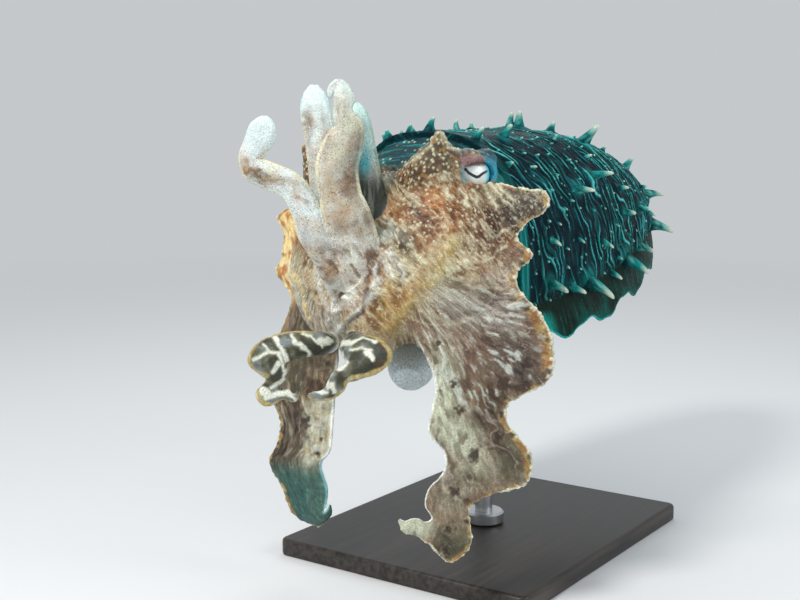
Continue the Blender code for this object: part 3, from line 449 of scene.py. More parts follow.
def ribbon(stations, count, around, region, arm):
    """A tapered flat tube along an arm, its ends drawn in, with where each point lies on it."""
    shares = np.linspace(0, 1, count)
    centres, _, widths, normals, half_width, half_thick, bend = arm_frames(stations, shares)
    angles = np.linspace(0, 2 * math.pi, around, endpoint=False)
    across, over = np.cos(angles), np.sin(angles)
    bend_across = np.sum(bend * widths, axis=1)
    bend_over = np.sum(bend * normals, axis=1)
    points = []
    for i, centre in enumerate(centres):
        reach = limited(half_width[i] * across, bend_across[i])
        depth = limited(half_thick[i] * over, bend_over[i])
        points.append(centre + reach[:, None] * widths[i] + depth[:, None] * normals[i])
    points = [np.repeat(centres[:1], around, axis=0), *points, np.repeat(centres[-1:], around, axis=0)]
    shares = np.concatenate([[0], shares, [1]])
    lay = np.stack(np.broadcast_arrays(shares[:, None], across[None], over[None]), axis=-1).reshape(-1, 3)
    return np.concatenate(points), grid_faces(len(points), around), lay, region, arm


def band_sheet(stations, shares, steps):
    """Rows of points across a broad arm, from its outer edge to its inner one."""
    read = smooth_path(stations, shares)
    outer, inner = seen_to_body(read[:, :3]), seen_to_body(read[:, 3:6])
    v = np.linspace(0, 1, steps)[None, :, None]
    return outer[:, None] * (1 - v) + inner[:, None] * v, read[:, 6]


def plate(sheet, half, region, arm, shares):
    """A closed plate with its middle on a sheet of rows of points and rounded edges."""
    rows, steps, _ = sheet.shape
    normals = unit(np.cross(np.gradient(sheet, axis=0), np.gradient(sheet, axis=1)))
    facing = np.sign(np.sum(normals @ VIEW_NEAR))
    upper = sheet + normals * half[:, :, None]
    lower = sheet - normals * half[:, :, None]
    ring = np.concatenate([upper, lower[:, ::-1]], axis=1)
    v = np.linspace(0, 1, steps)
    lay_v = np.concatenate([v, v[::-1]])
    lay_w = np.concatenate([np.ones(steps), -np.ones(steps)]) * facing
    lay = np.stack(np.broadcast_arrays(shares[:, None], lay_v[None], lay_w[None]), axis=-1)
    ends = [np.repeat(ring[k].mean(axis=0)[None], 2 * steps, axis=0) for k in (0, -1)]
    points = np.concatenate([ends[0], ring.reshape(-1, 3), ends[1]])
    lay = np.concatenate([lay[0], lay.reshape(-1, 3), lay[-1]])
    return points, grid_faces(rows + 2, 2 * steps), lay, region, arm


def band(name, count, steps):
    """A broad arm with a thick core, thin edges and small ruffles in its outer edge."""
    shares = np.linspace(0, 1, count)
    sheet, core = band_sheet(BANDS[name], shares, steps)
    v = np.linspace(0, 1, steps)
    place = CORE_PLACE[name]
    reach = np.where(v < place, place, 1 - place)
    profile = (1 - np.minimum(np.abs(v - place) / reach, 1) ** 2) ** CORE_POWER[name]
    edge = np.minimum(KEEL_EDGE, core)[:, None]
    half = edge + (core[:, None] - edge) * profile[None]
    length = np.linalg.norm(np.diff(sheet[:, 0], axis=0), axis=1).sum()
    ruffle = np.sin(shares * length / 6.0) + 0.6 * np.sin(shares * length / 3.3 + 1.0)
    lift = 1.1 * ruffle[:, None] * np.clip(1 - v / 0.35, 0, 1)[None] ** 1.5
    sheet = sheet + lift[:, :, None] * VIEW_NEAR
    return plate(sheet, half, BAND_REGION[name], ARM_NAMES.index(name), shares)


# Head and mantle


def ellipsoid_field(points, centre, radii):
    """Signed distance, nearly, from an ellipsoid."""
    local = (points - np.array(centre)) / np.array(radii)
    outer = np.linalg.norm(local, axis=1)
    inner = np.linalg.norm(local / np.array(radii), axis=1)
    return outer * (outer - 1) / np.maximum(inner, 1e-9)


def cone_field(points, start, end, start_radius, end_radius):
    """Signed distance from a rounded cone between two points."""
    start, end = np.array(start, float), np.array(end, float)
    axis = end - start
    share = np.clip((points - start) @ axis / (axis @ axis), 0, 1)
    radius = start_radius + (end_radius - start_radius) * share
    return np.linalg.norm(points - start - share[:, None] * axis, axis=1) - radius


def blend_fields(first, second, reach):
    """Smooth union of two distance fields."""
    mix = np.clip(0.5 + 0.5 * (second - first) / reach, 0, 1)
    return second * (1 - mix) + first * mix - reach * mix * (1 - mix)


def turned_head(points, angle):
    """Turns points by an angle about a line along the animal at HEAD_LEVEL."""
    c, s = math.cos(angle), math.sin(angle)
    turn = np.array([[c, 0, -s], [0, 1, 0], [s, 0, c]])
    middle = np.array([0.0, 0.0, HEAD_LEVEL])
    return (np.asarray(points, float) - middle) @ turn.T + middle


def roll_head(points):
    """Turns points of the head's own frame into the body's."""
    return turned_head(points, HEAD_ROLL)


def unroll_head(points):
    """Turns body points back into the head's own frame."""
    return turned_head(points, -HEAD_ROLL)


# The left half of the head in its own frame, which the right half mirrors. A form a row: its
# field, the field's sizes, and how many mm it melts into the forms above it.
HEAD_FORMS = [
    (ellipsoid_field, ((34, -8, 20), (44, 36, 52)), 16),
    (cone_field, ((0, -24, 34), (0, -34, -14), 22, 18), 12),
    (cone_field, ((30, -22, 44), (46, -8, 76), 17, 15), 12),
    (cone_field, ((14, -8, 69), (40, -18, 84), 13, 12), 12),
    (cone_field, ((46, -16, 82), (52, -25, 103), 12, 2.5), 9),
    (ellipsoid_field, (EYE_CENTRE, (EYE_RADIUS + LID_THICKNESS,) * 3), 7),
    (cone_field, ((57, 13, 77), (56, 19, 85), 9, 8), 5),
    (cone_field, ((48, -2, 58), (64, 4, 30), 17, 14), 10),
    (ellipsoid_field, ((0, 46, 47), (55, 36, 53)), 10),
]
SKULL = ((0, 14, 34), (60, 42, 50))


def head_field(points):
    """The head in its own frame: skull, cheeks, crown of the arms, brows and eye bulges."""
    side = points.copy()
    side[:, 0] = np.abs(side[:, 0])
    field = ellipsoid_field(side, *SKULL)
    for form, sizes, reach in HEAD_FORMS:
        field = blend_fields(field, form(side, *sizes), reach)
    return field


def nape_patch():
    """The nape, which fills the mantle's opening behind the crown of the head."""
    directions, faces = globe(*NAPE_GRID)
    points = directions * np.array(NAPE_SIZE) + np.array(NAPE_CENTRE)
    return points, faces, np.zeros((len(points), 3)), HEAD, -1


def outermost(field, directions, reach=170.0, step=5.0, halvings=10):
    """How far a field's surface lies from HEAD_MIDDLE along each direction."""
    centre = np.array(HEAD_MIDDLE)
    outer = np.full(len(directions), reach)
    inner = np.zeros(len(directions))
    found = np.zeros(len(directions), bool)
    for distance in np.arange(reach, 0, -step):
        ask = ~found
        inside = np.zeros(len(directions), bool)
        inside[ask] = field(centre + directions[ask] * distance) < 0
        inner[inside] = distance
        outer[inside] = distance + step
        found |= inside
    for _ in range(halvings):
        middle = 0.5 * (inner + outer)
        inside = field(centre + directions * middle[:, None]) < 0
        inner = np.where(inside, middle, inner)
        outer = np.where(inside, outer, middle)
    return inner


def globe(segments, rings):
    """Unit directions over a globe and its faces, the poles up and down."""
    turn = np.linspace(0, 2 * math.pi, segments, endpoint=False)[None]
    fall = np.linspace(0, math.pi, rings)[:, None]
    level = np.broadcast_to(np.cos(fall), (rings, segments))
    directions = np.stack([np.sin(fall) * np.cos(turn), np.sin(fall) * np.sin(turn), level], axis=-1)
    return directions.reshape(-1, 3), grid_faces(rings, segments)


def head_patch(segments, rings):
    directions, faces = globe(segments, rings)
    distance = outermost(head_field, directions)
    points = np.array(HEAD_MIDDLE) + directions * distance[:, None]
    return roll_head(points), faces, np.zeros((len(points), 3)), HEAD, -1


def mantle_section(share):
    """Half width, top and belly heights, widest level and squareness at a share of length."""
    rear = np.clip((share - MANTLE_SHOULDER) / (1 - MANTLE_SHOULDER), 0, 1)
    round_off = np.maximum(1 - rear**2.5, 0.0) ** 0.64
    front = np.clip(1 - share / MANTLE_THROAT, 0, 1)
    half_width = MANTLE_HALF_WIDTH * (round_off - 0.09 * front**2)
    top = (MANTLE_TOP - MANTLE_FALL * share) * (round_off**1.3 - 0.02 * front**2)
    belly = MANTLE_BELLY * round_off
    level = MANTLE_LEVEL + MANTLE_RISE * share**1.34
    square = MANTLE_SQUARE[0] - MANTLE_SQUARE[1] * share
    return half_width, top, belly, level, square


def mantle_points(share, angle, grow=0.0):
    """Points on the mantle: share from the front rim, angle from the back's midline."""
    half_width, top, belly, level, square = mantle_section(share)
    power = 2.0 / square
    sine, cosine = np.sin(angle), np.cos(angle)
    lift = np.where(cosine > 0, top + grow, belly + grow)
    bend = np.where(cosine > 0, power, 0.9)
    x = (half_width + grow) * np.sign(sine) * np.abs(sine) ** bend
    z = level + lift * np.sign(cosine) * np.abs(cosine) ** bend
    rim_lead = -9.0 * np.clip(cosine, 0, 1) ** 2 + 8.0 * np.clip(-cosine, 0, 1)
    y = MANTLE_FRONT + MANTLE_LENGTH * share + rim_lead * (1 - share) ** 3
    return np.stack([x, y, z], axis=-1)


def mantle_normals(share, angle):
    """Outward, backward and round-the-body directions of the mantle's surface."""
    here = mantle_points(share, angle)
    back = unit(mantle_points(share + 0.004, angle) - here)
    outward = unit(mantle_points(share, angle + 0.01) - here)
    return here, unit(np.cross(outward, back)), back, outward


def mantle_patch(rings, around):
    """The mantle, a cup at its rim and closed at its tail."""
    shares = np.clip(1 - np.cos(np.linspace(0, math.pi / 2, rings)) ** 1.25, 0, 0.9985)
    angles = np.linspace(0, 2 * math.pi, around, endpoint=False)
    points = [mantle_points(np.full(around, share), angles) for share in shares]
    rim = mantle_points(np.full(around, 0.0), angles)
    middle = rim.mean(axis=0)
    lip = middle + (rim - middle) * (1 - RIM_THICKNESS / MANTLE_HALF_WIDTH)
    cup = lip + np.array([0.0, RIM_DEPTH, 0.0])
    lip = lip + np.array([0.0, 0.6, 0.0])
    floor = np.repeat(cup.mean(axis=0)[None], around, axis=0)
    tail = np.repeat(points[-1].mean(axis=0)[None], around, axis=0)
    points = [floor, cup, lip, *points, tail]
    lay_u = np.concatenate([[-0.2, -0.1, -0.01], shares, [1.0]])
    lay = np.stack(np.broadcast_arrays(lay_u[:, None], np.cos(angles)[None], np.sin(angles)[None]), axis=-1)
    return np.concatenate(points), grid_faces(len(points), around), lay.reshape(-1, 3), MANTLE, -1


def fin_patch(side, count, steps):
    """One fin, from the mantle's flank to its rippled edge."""
    shares = np.linspace(*FIN_SPAN, count)
    angle = np.full(count, side * FIN_ANGLE)
    root = mantle_points(shares, angle, -FIN_SINK)
    tangent = unit(mantle_points(np.minimum(shares + 0.01, 0.998), angle, -FIN_SINK) - root)
    outward = unit(np.cross(tangent, np.array([0, 0, 1.0])) * side)
    width = FIN_WIDTH * np.minimum(1.0, 0.35 + shares * 4.5) * (1 - 0.2 * shares)
    width = width * (0.25 + 0.75 * np.sqrt(ramp(shares, 0.99, 0.84))) + FIN_SINK
    ripple = np.sin(shares * 30 + 1.5 * side) * FIN_RIPPLE + np.sin(shares * 83 + side) * 1.0
    droop = np.radians(FIN_DROOP * (1 + 0.4 * shares))
    v = np.linspace(0, 1, steps)[None]
    out = (width * np.cos(droop))[:, None] * v
    drop = -(np.sin(droop) * width)[:, None] * v**1.5 + ripple[:, None] * v**1.5
    sheet = root[:, None] + outward[:, None] * out[:, :, None] + np.array([0, 0, 1.0]) * drop[:, :, None]
    half = np.linspace(FIN_ROOT_THICKNESS, FIN_EDGE_THICKNESS, steps) / 2
    return plate(sheet, np.repeat(half[None], count, axis=0), FIN, -1, shares)


# Seeded noise on points, all in numpy


def lattice_random(cell, seed):
    """A repeatable number from 0 to 1 for each whole-numbered cell."""
    cell = cell.astype(np.int64)
    first, second, third, last = HASH_PRIMES
    hashed = cell[..., 0] * first ^ cell[..., 1] * second ^ cell[..., 2] * third ^ (seed * last)
    hashed = (hashed ^ (hashed >> 13)) * 1274126177 & 0x7FFFFFFF
    hashed = (hashed ^ (hashed >> 15)) * 2246822519 & 0x7FFFFFFF
    return (hashed & 0xFFFFF) / float(0xFFFFF)


def cloud(points, size, seed=0, octaves=2):
    """Smooth noise from -1 to 1 whose largest lumps are size across."""
    total, weight, gain = np.zeros(len(points)), 0.0, 1.0
    for octave in range(octaves):
        scaled = points / size * 2**octave + 17.3 * octave
        cell = np.floor(scaled)
        part = scaled - cell
        part = part * part * (3 - 2 * part)
        value = np.zeros(len(points))
        for corner in np.ndindex(2, 2, 2):
            share = np.prod(np.where(corner, part, 1 - part), axis=1)
            value += share * lattice_random(cell + np.array(corner), seed + octave)
        total += gain * (2 * value - 1)
        weight += gain
        gain *= 0.55
    return np.clip(total / weight * 1.6, -1, 1)


def cells(points, size, seed=0):
    """Distance to the nearest of one scattered point a cell, in cells, and that cell's number."""
    scaled = points / size
    cell = np.floor(scaled)
    best = np.full(len(points), 9.0)
    which = np.zeros(len(points))
    for step in np.ndindex(3, 3, 3):
        near = cell + np.array(step) - 1
        spot = near + np.stack([lattice_random(near, seed + k) for k in (1, 2, 3)], axis=1)
        distance = np.linalg.norm(scaled - spot, axis=1)
        closer = distance < best
        best = np.where(closer, distance, best)
        which = np.where(closer, lattice_random(near, seed + 9), which)
    return best, which


def ramp(value, low, high):
    """Smooth step from 0 at low to 1 at high."""
    share = np.clip((value - low) / (high - low), 0, 1)
    return share * share * (3 - 2 * share)


def window(value, low, full, last, high):
    """1 from full to last, falling smoothly to 0 at low and at high."""
    return ramp(value, low, full) * ramp(value, high, last)


def mixed(first, second, share):
    """Blends colours, or anything else, by a share a point."""
    share = np.asarray(share)
    if share.ndim:
        share = share[:, None]
    return np.asarray(first) * (1 - share) + np.asarray(second) * share


def tone(name):
    return np.array(PALETTE[name])


def between(first, second, share):
    """A colour between two of the palette's."""
    return mixed(tone(first), tone(second), share)


def layered(colour, *layers):
    """Lays colours, or names from the palette, over a colour in turn, each by its share."""
    for over, share in layers:
        colour = mixed(colour, tone(over) if isinstance(over, str) else over, share)
    return colour


# Joining the sources into one skin


def mesh_object(name, points, faces):
    """An object from points in millimetres about the pivot."""
    mesh = bpy.data.meshes.new(name)
    mesh.from_pydata(((np.asarray(points) + PIVOT) * MM).tolist(), [], np.asarray(faces).tolist())
    mesh.validate()
    made = bpy.data.objects.new(name, mesh)
    bpy.context.scene.collection.objects.link(made)
    return made


def read_rows(items, field, width, kind=np.float32):
    """One property of every item of a mesh, a row of numbers each."""
    flat = np.empty(len(items) * width, kind)
    items.foreach_get(field, flat)
    return flat.reshape(-1, width)


def mesh_points(made):
    return read_rows(made.data.vertices, "co", 3).astype(float) / MM - PIVOT


def applied(made):
    """Applies every modifier of an object."""
    graph = bpy.context.evaluated_depsgraph_get()
    result = bpy.data.meshes.new_from_object(made.evaluated_get(graph))
    made.modifiers.clear()
    made.data = result
    return made


def weld(made, distance=0.01):
    """Closes the pinched ends of tubes by merging points that coincide."""
    shape = bmesh.new()
    shape.from_mesh(made.data)
    bmesh.ops.remove_doubles(shape, verts=shape.verts, dist=distance * MM)
    bmesh.ops.recalc_face_normals(shape, faces=shape.faces)
    shape.to_mesh(made.data)
    shape.free()
    return made


def eye_axes():
    """The gaze, the level line of the lids and the line up across them."""
    gaze = unit(np.array(EYE_GAZE))
    level = unit(np.cross(gaze, (0.0, 0.0, 1.0)))
    return gaze, level, np.cross(level, gaze)


def lid_cutter(side):
    """The almond cut through the lids, an egg shape along the gaze."""
    gaze, level, upward = eye_axes()
    points, faces = globe(*LID_GRID)
    long_way, high_way = LID_OPENING
    shaped = level * points[:, :1] * long_way + upward * points[:, 1:2] * high_way
    shaped = shaped + gaze * (points[:, 2:] * EYE_RADIUS + EYE_RADIUS) + level * LID_SHIFT
    return roll_head((shaped + np.array(EYE_CENTRE)) * np.array([side, 1, 1])), faces


def cut_eyes(head):
    """Opens the sockets and the lids in the head."""
    for side in (1, -1):
        points, faces = globe(*SOCKET_GRID)
        ball = roll_head(points * (EYE_RADIUS + SOCKET_GAP) + np.array(EYE_CENTRE) * np.array([side, 1, 1]))
        for shape in ((ball, faces), lid_cutter(side)):
            cutter = weld(mesh_object("cutter", *shape))
            modifier = head.modifiers.new("cut", "BOOLEAN")
            modifier.operation = "DIFFERENCE"
            modifier.object = cutter
            modifier.solver = "MANIFOLD"
            applied(head)
            bpy.data.objects.remove(cutter, do_unlink=True)
    return head


def source_patches():
    """Every part of the body as (points, faces, lay, region, arm)."""
    patches = [head_patch(*HEAD_GRID), nape_patch(), mantle_patch(*MANTLE_GRID)]
    patches += [fin_patch(side, *FIN_GRID) for side in (1, -1)]
    patches.append(ribbon(FUNNEL_PATH, *FUNNEL_GRID, FUNNEL, -1))
    for name, stations in ARMS.items():
        patches.append(ribbon(stations, *RAISED_GRID, RAISED, ARM_NAMES.index(name)))
    for name in BANDS:
        patches.append(band(name, *(LOWER_GRID if name.endswith("4") else ZEBRA_GRID)))
    return patches


def join_meshes(target, pieces):
    """Joins other meshes into the target's."""
    chosen = [target, *pieces]
    with bpy.context.temp_override(
        active_object=target, selected_editable_objects=chosen, selected_objects=chosen, object=target
    ):
        bpy.ops.object.join()


def joined_skin(patches):
    """One closed skin over all the patches, remeshed so that no seam is left between them."""
    head, *others = [weld(mesh_object(f"source_{k}", *patch[:2])) for k, patch in enumerate(patches)]
    skin = cut_eyes(head)
    join_meshes(skin, others)
    skin.name = "cuttlefish_skin"
    remesh = skin.modifiers.new("remesh", "REMESH")
    remesh.mode = "VOXEL"
    remesh.voxel_size = VOXEL * MM
    relax = skin.modifiers.new("relax", "SMOOTH")
    relax.factor = 0.5
    relax.iterations = 4
    return applied(skin)


def nearest_lay(points, patches):
    """For each point the patch it lies on, as region, arm and place on it."""
    vertices = np.concatenate([patch[0] for patch in patches])
    lays = np.concatenate([patch[2] for patch in patches])
    offsets = np.cumsum([0] + [len(patch[0]) for patch in patches])
    faces = np.concatenate([patch[1] + offset for patch, offset in zip(patches, offsets)])
    of_face = np.concatenate([np.full(len(patch[1]), k) for k, patch in enumerate(patches)])
    tree = BVHTree.FromPolygons(vertices.tolist(), faces.tolist())
    found = np.zeros(len(points), int)
    spots = np.zeros((len(points), 3))
    for i, point in enumerate(points.tolist()):
        spot, _, index, _ = tree.find_nearest(point)
        found[i] = index
        spots[i] = spot
    corners = faces[found]
    gaps = np.linalg.norm(vertices[corners] - spots[:, None], axis=2)
    shares = 1.0 / (gaps + 0.02) ** 2
    shares /= shares.sum(axis=1, keepdims=True)
    lay = np.sum(lays[corners] * shares[:, :, None], axis=1)
    owner = of_face[found]
    region = np.array([patch[3] for patch in patches])[owner]
    arm = np.array([patch[4] for patch in patches])[owner]
    return region, arm, lay


def edge_list(made):
    return read_rows(made.data.edges, "vertices", 2, np.int32)


def spread(values, edges, count, times, share=0.5):
    """Averages values with their neighbours' over the mesh, times over."""
    degree = np.bincount(edges.ravel(), minlength=count).astype(float)[:, None]
    values = np.asarray(values, float).reshape(count, -1)
    for _ in range(times):
        total = np.zeros_like(values)
        for k in range(values.shape[1]):
            total[:, k] = np.bincount(edges[:, 0], values[edges[:, 1], k], count)
            total[:, k] += np.bincount(edges[:, 1], values[edges[:, 0], k], count)
        values = values * (1 - share) + share * total / np.maximum(degree, 1)
    return values


def vertex_normals(made):
    return read_rows(made.data.vertex_normals, "vector", 3).astype(float)


def set_points(made, points):
    made.data.vertices.foreach_set("co", ((points + PIVOT) * MM).astype(np.float32).ravel())
    made.data.update()


def store(made, name, kind, field, values):
    """Keeps a row of numbers a point on the mesh, for a material to read."""
    layer = made.data.attributes.new(name, kind, "POINT")
    layer.data.foreach_set(field, values.astype(np.float32).ravel())


def set_tone(made, colours, dots):
    """Stores colour and chromatophore density a point for the skin's material."""
    packed = np.concatenate([np.clip(colours, 0, 1), np.asarray(dots).reshape(-1, 1)], axis=1)
    store(made, "tone", "FLOAT_COLOR", "color", packed)


def set_flow(made, grit, flow):
    """Stores how strong the fine streaks and granules are, and which way the streaks run."""
    packed = np.concatenate([grit, np.ones((len(grit), 1))], axis=1)
    store(made, "grit", "FLOAT_COLOR", "color", packed)
    store(made, "flow", "FLOAT_VECTOR", "vector", flow)


# Papillae and suckers


def circles(axes, sides):
    """A unit circle square to each axis, of as many points as it has sides."""
    side = unit(np.cross(axes, (0.31, 0.52, 0.8)))
    other = np.cross(axes, side)
    turn = np.linspace(0, 2 * math.pi, sides, endpoint=False)
    return side[:, None] * np.cos(turn)[:, None] + other[:, None] * np.sin(turn)[:, None]


def horns(bases, axes, bends, heights, roots, tips, rings=11, sides=12):
    """Bent, blunt papillae with flared feet: points, faces and each point's share of height."""
    share = np.concatenate([[-0.12], np.linspace(0, 0.82, rings - 5) ** 0.85, [0.9, 0.96, 0.99, 1.0]])
    tip_share = tips / heights
    rounding = (share[None] - 1 + tip_share[:, None]) / tip_share[:, None]
    cap = np.sqrt(np.clip(1 - np.clip(rounding, 0, 1) ** 2, 0, 1))
    taper = np.clip(1 - share, 0, 1)[None]
    radius = tips[:, None] + (roots - tips)[:, None] * (0.62 * taper + 0.38 * taper**5)
    radius = radius * cap
    lift = share[None] * heights[:, None]
    bow = np.clip(share, 0, 1)[None] ** 2 * heights[:, None]
    centre = bases[:, None] + axes[:, None] * lift[:, :, None] + bends[:, None] * bow[:, :, None]
    points = centre[:, :, None] + circles(axes, sides)[:, None] * radius[:, :, None, None]
    shares = np.broadcast_to(share[None, :, None], points.shape[:3])
    return points.reshape(-1, 3), repeated_faces(len(share), sides, len(bases)), shares.reshape(-1)


def seen_papilla(x, y, height, grid):
    """The place on the mantle whose papilla of this height shows its tip at a pixel."""
    share, angle, here, normal, lean = grid
    tip = here + (normal + lean) * height
    px, py, _ = body_to_pixels(tip)
    miss = np.hypot(px - x, py - y) + 60.0 * np.clip(-0.1 - normal @ VIEW_NEAR, 0, 1)
    best = int(np.argmin(miss))
    return share[best], angle[best]


def papilla_lean(angle, back, outward):
    """How a papilla leans for each mm of height: back, and down where it stands on a flank."""
    down = np.sign(angle) * (0.08 + 0.42 * ramp(np.abs(angle), 0.7, 1.4))
    return back * PAPILLA_LEAN + outward * down[:, None]


def papilla_places():
    """Share, angle and height of the mantle's papillae, seen ones first, then the rest."""
    share, angle = (a.ravel() for a in np.meshgrid(np.linspace(0.02, 0.96, 190), np.linspace(-1.9, 1.9, 230)))
    here, normal, back, outward = mantle_normals(share, angle)
    grid = (share, angle, here, normal, papilla_lean(angle, back, outward))
    places = [(*seen_papilla(x, y, height, grid), height) for x, y, height in SEEN_PAPILLAE]
    places += [(u, -a, 0.92 * h) for u, a, h in places if a > 0.35]
    chance = np.random.default_rng(SEED)
    spots = [mantle_points(np.array([u]), np.array([a]))[0] for u, a, _ in places]
    for _ in range(PAPILLA_TRIES):
        u, a = chance.uniform(0.03, 0.97), chance.uniform(-1.62, 1.62)
        flank = ramp(abs(a), 0.9, 1.5)
        small = chance.uniform() < 0.6
        height = chance.uniform(1.3, 2.6) if small else chance.uniform(3.6, 6.0) + 7.0 * flank
        spot = mantle_points(np.array([u]), np.array([a]))[0]
        room = (10.0 if small else 15.5) + 0.35 * height
        if np.min(np.linalg.norm(np.array(spots) - spot, axis=1)) > room:
            places.append((u, a, height))
            spots.append(spot)
    return np.array(places)


def mantle_horns():
    places = papilla_places()
    share, angle, height = places.T
    here, normal, back, outward = mantle_normals(share, angle)
    chance = np.random.default_rng(SEED + 1)
    drift = chance.normal(0, 0.12, (len(places), 3))
    bends = papilla_lean(angle, back, outward) + drift
    height = height * np.where(height > 3.5, 1.2, 1.0)
    roots = 1.2 + 0.36 * height
    tips = 0.4 + 0.07 * height
    points, faces, shares = horns(here - normal * 0.4, normal, bends, height, roots, tips)
    owner = np.repeat(np.arange(len(places)), len(shares) // len(places))
    return points, faces, shares, height[owner], chance.uniform(0, 1, len(places))[owner]


# Stage


class Shading:
    """A material being built. Most methods add a node and give back its output."""

    def __init__(self, name, colour, roughness):
        self.material = bpy.data.materials.new(name)
        self.material.use_nodes = True
        self.tree = self.material.node_tree
        self.shader = self.tree.nodes["Principled BSDF"]
        self.fill(self.shader, {"Base Color": (*colour, 1), "Roughness": roughness})
        self.place = self.node("ShaderNodeTexCoord").outputs["Object"]

    def fill(self, node, inputs):
        """Links a node's inputs to other nodes' outputs, or sets their values."""
        for name, item in inputs.items():
            if isinstance(item, bpy.types.NodeSocket):
                self.tree.links.new(item, node.inputs[name])
            else:
                node.inputs[name].default_value = item

    def node(self, kind, inputs=None, **settings):
        """Adds a node and gives back the node itself."""
        made = self.tree.nodes.new(kind)
        for key, value in settings.items():
            setattr(made, key, value)
        self.fill(made, inputs or {})
        return made

    def stored(self, name, output="Color"):
        return self.node("ShaderNodeAttribute", attribute_name=name).outputs[output]

    def mapped(self, value, low, high, to_low, to_high):
        inputs = {"Value": value, "From Min": low, "From Max": high, "To Min": to_low, "To Max": to_high}
        return self.node("ShaderNodeMapRange", inputs).outputs["Result"]

    def maths(self, operation, first, second):
        return self.node("ShaderNodeMath", {0: first, 1: second}, operation=operation).outputs[0]

    def product(self, first, second):
        return self.maths("MULTIPLY", first, second)

    def scaled(self, colour, factor):
        inputs = {0: colour, "Scale": factor}
        return self.node("ShaderNodeVectorMath", inputs, operation="SCALE").outputs[0]

    def blended(self, base, factor, colour, kind="MIX"):
        colour = (*colour, 1) if isinstance(colour, tuple) else colour
        inputs = {"Factor": factor, "A": base, "B": colour}
        return self.node("ShaderNodeMix", inputs, data_type="RGBA", blend_type=kind).outputs["Result"]

    def stretched(self, source, scale):
        inputs = {"Vector": source, "Scale": scale}
        return self.node("ShaderNodeMapping", inputs).outputs["Vector"]

    def noise(self, size, detail=3.0, source=None, distortion=0.0):
        """Noise with lumps of size mm over the object, or of size along a source of its own."""
        scale = 1.0 / (size * MM) if source is None else 1.0 / size
        inputs = {"Vector": source or self.place, "Scale": scale, "Detail": detail}
        inputs["Distortion"] = distortion
        return self.node("ShaderNodeTexNoise", inputs).outputs["Fac"]

    def voronoi(self, size, feature="F1"):
        inputs = {"Vector": self.place, "Scale": 1.0 / (size * MM)}
        return self.node("ShaderNodeTexVoronoi", inputs, feature=feature).outputs["Distance"]

    def bump(self, height, strength, depth):
        inputs = {"Height": height, "Strength": strength, "Distance": depth * MM}
        return self.node("ShaderNodeBump", inputs).outputs["Normal"]


def build_stage():
    """A pale floor that fades into the studio's own pale light far from the model."""
    bpy.ops.mesh.primitive_circle_add(vertices=96, radius=FLOOR_RADIUS, fill_type="NGON")
    floor = bpy.context.object
    floor.name = "floor"
    paper = Shading("floor_paper", FLOOR_COLOUR, 0.9)
    radius = paper.node("ShaderNodeVectorMath", {0: paper.place}, operation="LENGTH").outputs["Value"]
    fade = paper.mapped(radius, *FLOOR_FADE, 0.0, 1.0)
    glow = paper.node("ShaderNodeEmission", {"Color": (*STUDIO_COLOUR, 1), "Strength": STUDIO_STRENGTH})
    mix = paper.node("ShaderNodeMixShader", {"Fac": fade, 1: paper.shader.outputs[0], 2: glow.outputs[0]})
    paper.fill(paper.tree.nodes["Material Output"], {"Surface": mix.outputs[0]})
    floor.data.materials.append(paper.material)


def area_light(name, place, target, size, power, colour):
    light = bpy.data.lights.new(name, "AREA")
    light.shape = "DISK"
    light.size = size
    light.energy = power
    light.color = colour
    made = bpy.data.objects.new(name, light)
    made.location = place
    made.rotation_euler = (Vector(target) - Vector(place)).to_track_quat("-Z", "Y").to_euler()
    bpy.context.scene.collection.objects.link(made)


def build_light():
    """Three lamps round the model and the studio's pale surroundings."""
    middle = Vector(PIVOT * MM) + Vector(LIGHT_TARGET)
    axes = [Vector(axis) for axis in (VIEW_ACROSS, VIEW_UP, VIEW_NEAR)]
    for name, (steps, size, power, colour) in LIGHTS.items():
        place = middle + axes[0] * steps[0] + axes[1] * steps[1] + axes[2] * steps[2]
        area_light(name, place, middle, size, power, colour)
    world = bpy.data.worlds.new("studio")
    bpy.context.scene.world = world
    world.use_nodes = True
    background = world.node_tree.nodes["Background"].inputs
    background["Color"].default_value = (*STUDIO_COLOUR, 1)
    background["Strength"].default_value = STUDIO_STRENGTH
    bpy.context.scene.view_settings.view_transform = "Standard"


def build_camera():
    """The photograph's camera, which looks straight at the pivot."""
    data = bpy.data.cameras.new("camera")
    data.sensor_width = SENSOR_WIDTH
    data.lens = SENSOR_WIDTH * CAMERA_DISTANCE / (PIXEL * PICTURE_WIDTH)
    data.clip_start = 0.01
    camera = bpy.data.objects.new("camera", data)
    place = PIVOT + CAMERA_DISTANCE * VIEW_NEAR
    matrix = Matrix.Identity(4)
    for row in range(3):
        matrix[row][0], matrix[row][1] = VIEW_ACROSS[row], VIEW_UP[row]
        matrix[row][2], matrix[row][3] = VIEW_NEAR[row], place[row] * MM
    camera.matrix_world = matrix
    bpy.context.scene.collection.objects.link(camera)
    bpy.context.scene.camera = camera


# Skin colours


